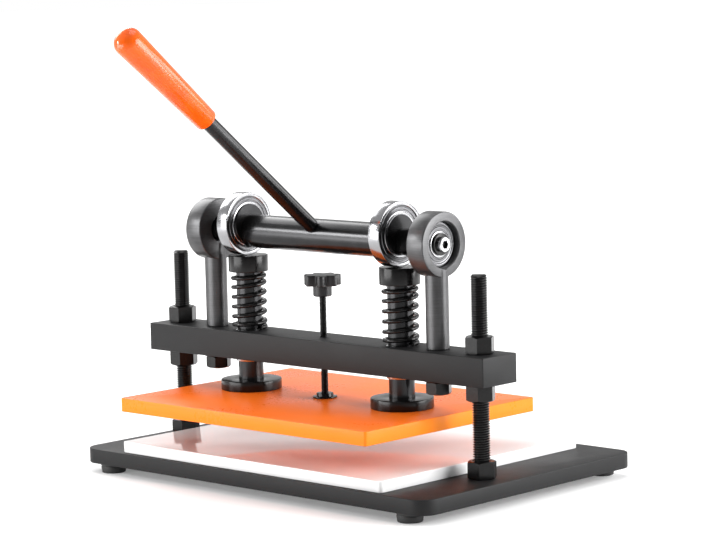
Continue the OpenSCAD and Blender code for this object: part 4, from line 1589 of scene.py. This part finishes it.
class PRESS_OT_beam(bpy.types.Operator):
    """Model the cross beam and the guide bushes in it"""

    bl_idname = "press.beam"
    bl_label = "Cross Beam"

    def execute(self, context):
        make_cross_beam()
        make_guide_bushes()
        return {"FINISHED"}


class PRESS_OT_posts(bpy.types.Operator):
    """Model the bearing posts with their nuts and washers"""

    bl_idname = "press.posts"
    bl_label = "Bearing Posts"

    def execute(self, context):
        make_bearing_posts()
        make_post_fasteners()
        return {"FINISHED"}


class PRESS_OT_bearings(bpy.types.Operator):
    """Model the shaft's end bearings"""

    bl_idname = "press.bearings"
    bl_label = "End Bearings"

    def execute(self, context):
        make_end_bearings()
        return {"FINISHED"}


class PRESS_OT_shaft(bpy.types.Operator):
    """Model the eccentric shaft and the pieces fixed on it"""

    bl_idname = "press.shaft"
    bl_label = "Shaft"

    def execute(self, context):
        make_shaft()
        make_wheel_inner_races()
        make_spacer_sleeves()
        make_end_washers()
        make_end_bolts()
        return {"FINISHED"}


class PRESS_OT_wheels(bpy.types.Operator):
    """Model the two bearing wheels that push the plungers"""

    bl_idname = "press.wheels"
    bl_label = "Wheels"

    def execute(self, context):
        make_wheels()
        return {"FINISHED"}


class PRESS_OT_lever(bpy.types.Operator):
    """Model the lever and its grip"""

    bl_idname = "press.lever"
    bl_label = "Lever"

    def execute(self, context):
        make_lever_rod()
        make_lever_grip()
        return {"FINISHED"}


class PRESS_OT_head(bpy.types.Operator):
    """Model the press plate with its plungers, collars, flanges and screws"""

    bl_idname = "press.head"
    bl_label = "Press Head"

    def execute(self, context):
        make_press_plate()
        make_plungers()
        make_collars()
        make_flanges()
        make_flange_screws()
        return {"FINISHED"}


class PRESS_OT_springs(bpy.types.Operator):
    """Model the return springs"""

    bl_idname = "press.springs"
    bl_label = "Springs"

    def execute(self, context):
        make_springs()
        return {"FINISHED"}


class PRESS_OT_stop(bpy.types.Operator):
    """Model the stop screw with its foot and star knob"""

    bl_idname = "press.stop"
    bl_label = "Stop Screw"

    def execute(self, context):
        make_stop_foot()
        make_stop_screw()
        make_star_knob()
        return {"FINISHED"}


class PRESS_OT_stage(bpy.types.Operator):
    """Set up the floor, the lamps and the camera"""

    bl_idname = "press.stage"
    bl_label = "Stage"

    def execute(self, context):
        make_stage()
        return {"FINISHED"}


OPERATORS = (
    PRESS_OT_base, PRESS_OT_board, PRESS_OT_feet, PRESS_OT_columns, PRESS_OT_beam, PRESS_OT_posts,
    PRESS_OT_bearings, PRESS_OT_shaft, PRESS_OT_wheels, PRESS_OT_lever, PRESS_OT_head,
    PRESS_OT_springs, PRESS_OT_stop, PRESS_OT_stage,
)


class PRESS_PT_panel(bpy.types.Panel):
    """Pieces, sizes and colours of the press"""

    bl_label = "Die Cutting Press"
    bl_space_type = "VIEW_3D"
    bl_region_type = "UI"
    bl_category = "Press"

    def draw(self, context):
        for operator in OPERATORS:
            self.layout.operator(operator.bl_idname)
        for group in (context.scene.press_sizes, context.scene.press_colours):
            column = self.layout.column()
            for name in group.__annotations__:
                column.prop(group, name)


CLASSES = (PressSizes, PressColours, *OPERATORS, PRESS_PT_panel)


def register():
    for cls in CLASSES:
        bpy.utils.register_class(cls)
    bpy.types.Scene.press_sizes = PointerProperty(type=PressSizes)
    bpy.types.Scene.press_colours = PointerProperty(type=PressColours)


def unregister():
    del bpy.types.Scene.press_colours
    del bpy.types.Scene.press_sizes
    for cls in reversed(CLASSES):
        bpy.utils.unregister_class(cls)


def main():
    """Build the press and its stage."""
    register()
    bpy.ops.press.base()
    bpy.ops.press.board()
    bpy.ops.press.feet()
    bpy.ops.press.columns()
    bpy.ops.press.beam()
    bpy.ops.press.posts()
    bpy.ops.press.bearings()
    bpy.ops.press.shaft()
    bpy.ops.press.wheels()
    bpy.ops.press.lever()
    bpy.ops.press.head()
    bpy.ops.press.springs()
    bpy.ops.press.stop()
    bpy.ops.press.stage()


if __name__ == "__main__":
    main()
